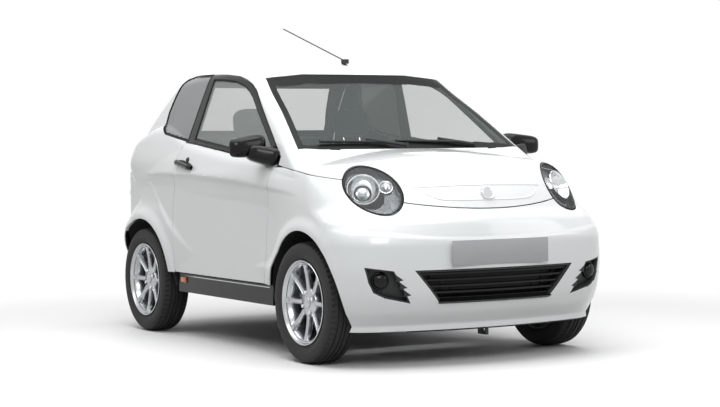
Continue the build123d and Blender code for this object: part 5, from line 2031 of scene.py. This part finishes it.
@dataclass
class Seats:
    """Two seats: stuffed cushion, back and head restraint on a moulded base."""

    shop: Shop
    centre_y: float = 0.300
    voxel: float = 0.009
    pressure: float = 4.0
    travel: float = 0.012
    steps: int = 20
    seam_depth: float = 0.006
    seam_width: float = 0.007
    cushion_half: tuple = (0.230, 0.218, 0.050)
    cushion_place: tuple = (-0.092, 0.0, 0.395)
    back_half: tuple = (0.044, 0.210, 0.250)
    back_place: tuple = (-0.378, 0.0, 0.704)
    back_lean: float = -13.0
    restraint_half: tuple = (0.032, 0.112, 0.078)
    restraint_place: tuple = (-0.478, 0.0, 1.112)
    restraint_lean: float = -6.0
    knob_place: tuple = (-0.310, 0.222, 0.425)

    def inflate(self, bm: BMesh) -> BMesh:
        """Lets cloth swell over a pad's form.

        Args:
            bm: the form; it is freed.

        Returns:
            A bmesh of the swollen pad.
        """
        mesh = bpy.data.meshes.new("pad_form")
        bm.to_mesh(mesh)
        bm.free()
        obj = bpy.data.objects.new("pad_form", mesh)
        scene = bpy.context.scene
        scene.collection.objects.link(obj)
        remesh = obj.modifiers.new("remesh", "REMESH")
        remesh.mode = "VOXEL"
        remesh.voxel_size = self.voxel
        depsgraph = bpy.context.evaluated_depsgraph_get()
        dense = bpy.data.meshes.new_from_object(obj.evaluated_get(depsgraph))
        obj.modifiers.clear()
        obj.data = dense
        start = [v.co.copy() for v in dense.vertices]
        cloth = obj.modifiers.new("cloth", "CLOTH")
        cloth.settings.use_pressure = True
        cloth.settings.uniform_pressure_force = self.pressure
        cloth.settings.effector_weights.gravity = 0.0
        cloth.point_cache.frame_start, cloth.point_cache.frame_end = 1, self.steps
        for step in range(1, self.steps + 1):
            scene.frame_set(step)
        swollen = bpy.data.meshes.new_from_object(obj.evaluated_get(bpy.context.evaluated_depsgraph_get()))
        scene.frame_set(1)
        out = bmesh.new()
        out.from_mesh(swollen)
        out.verts.ensure_lookup_table()
        for vert, place in zip(out.verts, start):
            move = vert.co - place
            if move.length > self.travel:
                vert.co = place + move.normalized() * self.travel
        bmesh.ops.smooth_vert(out, verts=out.verts, factor=0.5, use_axis_x=True, use_axis_y=True, use_axis_z=True)
        bpy.data.objects.remove(obj)
        for used in (mesh, dense, swollen):
            bpy.data.meshes.remove(used)
        return out

    def sew(self, bm: BMesh, lines: list) -> None:
        """Pulls sewn channels into a pad.

        Args:
            bm: the pad, in its own frame.
            lines: list of (axis index, place, facing axis index, facing sign).
        """
        bm.normal_update()
        for axis, place, facing, sign in lines:
            for vert in bm.verts:
                if vert.normal[facing] * sign > 0.15:
                    off = (vert.co[axis] - place) / self.seam_width
                    vert.co -= vert.normal * self.seam_depth * math.exp(-off * off)

    def pad(self, half: tuple, power: float, shape: Callable, seams: list, wide: float, matrix: Matrix, name: str) -> None:
        """Makes one pad for each seat.

        Args:
            half: half sizes of the form.
            power: its squareness.
            shape: function that bends the form, from a point to a point.
            seams: channels for sew().
            wide: half width of the woven middle panel; the bolsters beyond it are smooth.
            matrix: from the pad's frame to the car's, at the middle of the car.
            name: name of the piece.
        """
        bm = soft_form(half, power)
        for vert in bm.verts:
            vert.co = shape(vert.co)
        bm = self.inflate(bm)
        self.sew(bm, seams)
        for face in bm.faces:
            face.material_index = 0 if abs(face.calc_center_median().y) < wide else 1
        bmesh.ops.transform(bm, matrix=matrix, verts=bm.verts)
        for side in Side:
            copy = bm.copy()
            bmesh.ops.translate(copy, vec=(0, side.value * self.centre_y, 0), verts=copy.verts)
            obj = self.shop.piece(copy, f"{name}_{side.name.lower()}", "body", ["seat_cloth", "bolster_cloth"],
                                  "seat_cloth", ["seats"] if name == "seat_cushion" and side is Side.LEFT else [], 70)
        bm.free()

    def build(self) -> None:
        """Builds both seats."""
        def cushion(p: Vector) -> Vector:
            """Raises the cushion's edges and rounds its nose.

            Args:
                p: a point of the pad.

            Returns:
                The bent point.
            """
            edge = max(0.0, abs(p.y) / 0.222 - 0.55) / 0.45
            nose = max(0.0, p.x / 0.235 - 0.45) / 0.55
            return Vector((p.x, p.y, p.z + 0.016 * edge * (2 - edge) - 0.020 * nose * nose + 0.02 * p.x))

        def back(p: Vector) -> Vector:
            """Draws the backrest in towards its top.

            Args:
                p: a point of the pad.

            Returns:
                The bent point.
            """
            t = p.z / 0.255
            edge = max(0.0, abs(p.y) / 0.215 - 0.52) / 0.48
            thick = 1.0 - 0.16 * t
            return Vector((p.x * thick + 0.022 * edge * (2 - edge) * (1 if p.x > 0 else 0.1),
                           p.y * (1 - 0.07 * max(t, 0)), p.z))

        cuts = [(1, 0.118, 2, 1), (1, -0.118, 2, 1), (0, 0.075, 2, 1), (0, -0.045, 2, 1)]
        self.pad(self.cushion_half, 4.5, cushion, cuts, 0.118, Matrix.Translation(self.cushion_place),
                 "seat_cushion")
        lean = Matrix.Translation(self.back_place) @ Matrix.Rotation(math.radians(self.back_lean), 4, "Y")
        cuts = [(1, 0.112, 0, 1), (1, -0.112, 0, 1), (2, 0.110, 0, 1), (2, -0.020, 0, 1)]
        self.pad(self.back_half, 4.0, back, cuts, 0.112, lean, "seat_back")
        rest = Matrix.Translation(self.restraint_place) @ Matrix.Rotation(math.radians(self.restraint_lean), 4, "Y")
        self.pad(self.restraint_half, 3.4, lambda p: p, [(2, -0.045, 0, 1)], 0.2, rest, "head_restraint")
        for side in Side:
            name, y = side.name.lower(), side.value * self.centre_y
            base = merge([block((0.440, 0.400, 0.040), (-0.095, y, 0.326), 0.016, 4),
                          block((0.400, 0.028, 0.030), (-0.095, y + 0.175, 0.292), 0.004),
                          block((0.400, 0.028, 0.030), (-0.095, y - 0.175, 0.292), 0.004)])
            self.shop.piece(base, f"seat_base_{name}", "body", "black_polypropylene", "dark_plastic")
            posts = merge([cord([(-0.455 - (z - 0.93) * 0.2, y + t, z) for z in (0.930, 0.98, 1.050)], 0.0065, 12)
                           for t in (0.050, -0.050)])
            self.shop.piece(posts, f"restraint_posts_{name}", "body", "plated_reflector", "frame_aluminium")
            knob = lathe([(0.0, 0.0), (0.034, 0.0), (0.038, 0.006), (0.036, 0.020), (0.0, 0.024)], 40, False)
            kx, ky, kz = self.knob_place
            outward = Matrix.Diagonal((1, side.value, 1, 1))
            lever = moved(knob, Matrix.Translation((kx, y + side.value * ky, kz)) @ outward)
            self.shop.piece(lever, f"recline_knob_{name}", "body", "black_polypropylene", "dark_plastic")


@dataclass
class Cockpit:
    """Dashboard, steering wheel, console, pedals and the doors' inner fittings."""

    shop: Shop
    half_width: float = 0.569
    wheel_centre: tuple = (0.122, 0.300, 0.812)
    wheel_tilt: float = 24.0
    wheel_radius: float = 0.178
    grip: float = 0.0135

    def build(self) -> None:
        """Builds the fittings."""
        self.dash()
        self.instruments()
        self.steering()
        self.console()
        for side in Side:
            self.door_fittings(side.name.lower(), side.value)

    def dash(self) -> None:
        """Moulded dashboard with its centre stack, vents and glove box lid."""
        profile = [(0.4495, 0.622), (0.4495, 0.880), (0.400, 0.910), (0.258, 0.898), (0.192, 0.850), (0.182, 0.762),
                   (0.230, 0.702), (0.300, 0.622)]
        bm = bmesh.new()
        verts = [bm.verts.new((x, -self.half_width, z)) for x, z in profile]
        face = bm.faces.new(verts)
        out = bmesh.ops.extrude_face_region(bm, geom=[face])
        far = [g for g in out["geom"] if isinstance(g, bmesh.types.BMVert)]
        bmesh.ops.translate(bm, vec=(0, 2 * self.half_width, 0), verts=far)
        bmesh.ops.recalc_face_normals(bm, faces=bm.faces)
        bmesh.ops.bevel(bm, geom=bm.edges[:], offset=0.016, segments=5, profile=0.5, affect="EDGES",
                        clamp_overlap=True, material=-1)
        self.shop.piece(bm, "dash_moulding", "body", "trim_skin", "dark_plastic", ["dashboard"])
        stack = merge([block((0.050, 0.190, 0.150), (0.196, 0.0, 0.775), 0.012, 4),
                       block((0.006, 0.164, 0.050), (0.170, 0.0, 0.815), 0.002)])
        self.shop.piece(stack, "dash_stack", "body", "gloss_black_abs", "black_trim")
        knobs = []
        for y in (-0.055, 0.0, 0.055):
            knob = lathe([(0.0, 0.0), (0.017, 0.0), (0.018, 0.004), (0.015, 0.018), (0.0, 0.019)], 40, False)
            knobs.append(moved(knob, Matrix.Translation((0.171, y, 0.752)) @ Matrix.Rotation(math.pi / 2, 4, "Z")))
        self.shop.piece(merge(knobs), "heater_knobs", "body", "black_polypropylene", "dark_plastic")
        vents = []
        for y in (-0.490, -0.140, 0.140, 0.490):
            ring = lathe([(0.032, 0.0), (0.040, 0.0), (0.041, 0.005), (0.034, 0.010), (0.030, 0.002)], 48)
            turn = Matrix.Translation((0.189, y, 0.838)) @ Matrix.Rotation(math.pi / 2, 4, "Z")
            vents.append(moved(ring, turn))
            vents += [block((0.006, 0.062, 0.0025), (0.187, y, 0.838 + z), 0.0008)
                      for z in (-0.02, -0.01, 0, 0.01, 0.02)]
        self.shop.piece(merge(vents), "dash_vents", "body", "gloss_black_abs", "black_trim")
        lid = merge([block((0.012, 0.330, 0.110), (0.184, -0.325, 0.778), 0.005, 3,
                           Matrix.Rotation(math.radians(2), 4, "Y")),
                     block((0.010, 0.060, 0.014), (0.177, -0.325, 0.822), 0.004)])
        self.shop.piece(lid, "glove_box_lid", "body", "trim_skin", "dark_plastic")

    def instruments(self) -> None:
        """Hood and dials behind the steering wheel."""
        x, y, z = 0.262, self.wheel_centre[1], 0.905
        hood = block((0.130, 0.250, 0.085), (x, y, z), 0.036, 6)
        self.shop.piece(hood, "instrument_hood", "body", "trim_skin", "dark_plastic")
        parts = []
        for dy, r in ((-0.050, 0.040), (0.050, 0.040)):
            dial = lathe([(0.0, 0.0), (r - 0.003, 0.0), (r - 0.003, 0.004), (r, 0.005), (r + 0.002, 0.0), (r, -0.004),
                          (0.0, -0.004)], 64, False)
            turn = Matrix.Rotation(math.pi / 2, 4, "Z")
            parts.append(moved(dial, Matrix.Translation((x - 0.066, y + dy, z + 0.002)) @ turn))
        self.shop.piece(merge(parts), "instrument_dials", "body", "gloss_black_abs", "black_trim")
        needles = [block((0.002, 0.0022, 0.030), (x - 0.0685, y + dy, z + 0.012), 0.0006) for dy in (-0.05, 0.05)]
        self.shop.piece(merge(needles), "instrument_needles", "body", "amber_lens", "red_lens")

    def steering(self) -> None:
        """Steering wheel: leather-grained rim, boss and three spokes."""
        tilt = math.radians(self.wheel_tilt)
        normal = Vector((-math.cos(tilt), 0.0, math.sin(tilt)))
        turn = normal.to_track_quat("Y", "Z").to_matrix().to_4x4()
        place = Matrix.Translation(self.wheel_centre) @ turn
        ring = [(self.wheel_radius + self.grip * math.cos(a), self.grip * math.sin(a))
                for a in np.linspace(0, 2 * math.pi, 20, endpoint=False)]
        rim = moved(lathe(ring, 96), place)
        self.shop.piece(rim, "steering_rim", "steering_wheel", "trim_skin", "black_trim", ["steering_wheel"])
        parts = [soft_form((0.066, 0.020, 0.056), 3.0, 7)]
        for angle in (0.0, math.pi, -math.pi / 2):
            arm = block((0.130, 0.012, 0.032), (0.112, -0.002, 0.0), 0.005, 3)
            parts.append(moved(arm, Matrix.Rotation(angle, 4, "Y")))
        boss = moved(merge(parts), place)
        self.shop.piece(boss, "steering_boss", "steering_wheel", "black_polypropylene", "black_trim")
        shroud = block((0.075, 0.150, 0.080), (0.0, -0.115, 0.0), 0.024, 5)
        self.shop.piece(moved(shroud, place), "column_shroud", "body", "black_polypropylene", "dark_plastic")
        stalks = merge([cord([(s * 0.03, -0.050, 0.0), (s * 0.10, -0.045, 0.006), (s * 0.155, -0.045, 0.012)],
                             0.0055, 10) for s in (-1, 1)])
        self.shop.piece(moved(stalks, place), "column_stalks", "body", "black_polypropylene", "dark_plastic")

    def console(self) -> None:
        """Low console with the drive selector and the hand brake, and two pedals."""
        tray = merge([block((0.430, 0.110, 0.085), (0.070, 0.0, 0.3168), 0.014, 4),
                      block((0.110, 0.080, 0.012), (0.180, 0.0, 0.362), 0.004)])
        self.shop.piece(tray, "console_tray", "body", "trim_skin", "dark_plastic")
        lever = merge([cord([(0.180, 0.0, 0.360), (0.176, 0.0, 0.40), (0.168, 0.0, 0.440)], 0.006, 12),
                       moved(soft_form((0.019, 0.017, 0.028), 2.6, 7), Matrix.Translation((0.166, 0.0, 0.455)))])
        self.shop.piece(lever, "drive_selector", "body", "gloss_black_abs", "black_trim")
        brake = merge([cord([(-0.10, 0.0, 0.350), (-0.02, 0.0, 0.378), (0.08, 0.0, 0.400)], 0.011, 16),
                       moved(soft_form((0.045, 0.014, 0.014), 3.0, 7), Matrix.Translation((0.060, 0.0, 0.396))
                             @ Matrix.Rotation(math.radians(-13), 4, "Y"))])
        self.shop.piece(brake, "hand_brake", "body", "black_polypropylene", "black_trim")
        pedals = []
        for y in (0.250, 0.350):
            pedals.append(block((0.014, 0.056, 0.062), (0.372, y, 0.372), 0.004, 3, Matrix.Rotation(-0.5, 4, "Y")))
            pedals.append(cord([(0.378, y, 0.390), (0.410, y, 0.52), (0.440, y, 0.640)], 0.007, 12))
        self.shop.piece(merge(pedals), "pedals", "body", "black_polypropylene", "black_trim")

    def door_fittings(self, name: str, s: int) -> None:
        """Arm rest, inner handle and pocket of one door.

        Args:
            name: side's name.
            s: sign of the side.
        """
        y = s * 0.672
        rest = merge([block((0.330, 0.050, 0.040), (-0.120, y, 0.690), 0.016, 5),
                      block((0.150, 0.030, 0.030), (0.070, y + s * 0.008, 0.700), 0.010, 4)])
        self.shop.piece(rest, f"door_arm_rest_{name}", f"door_{name}", "bolster_cloth", "dark_plastic")
        pocket = block((0.440, 0.030, 0.110), (-0.020, y + s * 0.008, 0.440), 0.012, 4)
        self.shop.piece(pocket, f"door_pocket_{name}", f"door_{name}", "black_polypropylene", "dark_plastic")
        pull = cord([(0.155, y + s * 0.012, 0.800), (0.155, y - s * 0.014, 0.800), (0.245, y - s * 0.014, 0.792),
                     (0.245, y + s * 0.012, 0.792)], 0.007, 12)
        self.shop.piece(pull, f"door_pull_{name}", f"door_{name}", "silver_alloy", "black_trim")


# ------------------------------------------------------------------ carried-over pieces
NODE_FINISH = {
    "underframe": "chassis_paint", "floor_pan": "black_polypropylene", "sills": "gloss_black_abs",
    "wipers": "black_polypropylene", "aerial": "black_polypropylene", "engine_block": "cast_block",
    "front_arms": "chassis_paint", "rear_axle": "chassis_paint", "exhaust": "turned_iron",
    "arch_liners": "black_polypropylene", "knuckle_left": "chassis_paint", "knuckle_right": "chassis_paint",
}


def dress_nodes(shop: Shop) -> None:
    """Gives every CAD node that still shows its own finish.

    Args:
        shop: where the finishes are.
    """
    for name, finish in NODE_FINISH.items():
        obj = bpy.data.objects.get(name)
        if obj is None:
            LOG.warning("no object for node %s", name)
            continue
        for slot in obj.material_slots:
            slot.link = "OBJECT"
            slot.material = shop.materials[finish]
        if not obj.material_slots:
            obj.data.materials.append(shop.materials[finish])


def build_all() -> None:
    """Builds the whole scene, one sub-assembly after another."""
    Studio.camera()
    Studio.build()
    shop = Shop()
    form = BodyForm()
    shell = Shell(shop, form)
    shell.build()
    for part in (Glazing(shell, shop), Wheel(shop), Headlamp(shop, shell), TailLamp(shop, shell),
                 NoseTrim(shop, shell), SideTrim(shop, shell), Seats(shop), Cockpit(shop)):
        part.build()
        LOG.info("built %s", type(part).__name__)
    dress_nodes(shop)


def main() -> None:
    logging.basicConfig(level=logging.INFO, format="%(name)s: %(message)s")
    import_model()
    bpy.context.scene.view_settings.view_transform = "Standard"
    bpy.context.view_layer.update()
    build_all()
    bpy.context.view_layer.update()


if __name__ == "__main__":
    main()
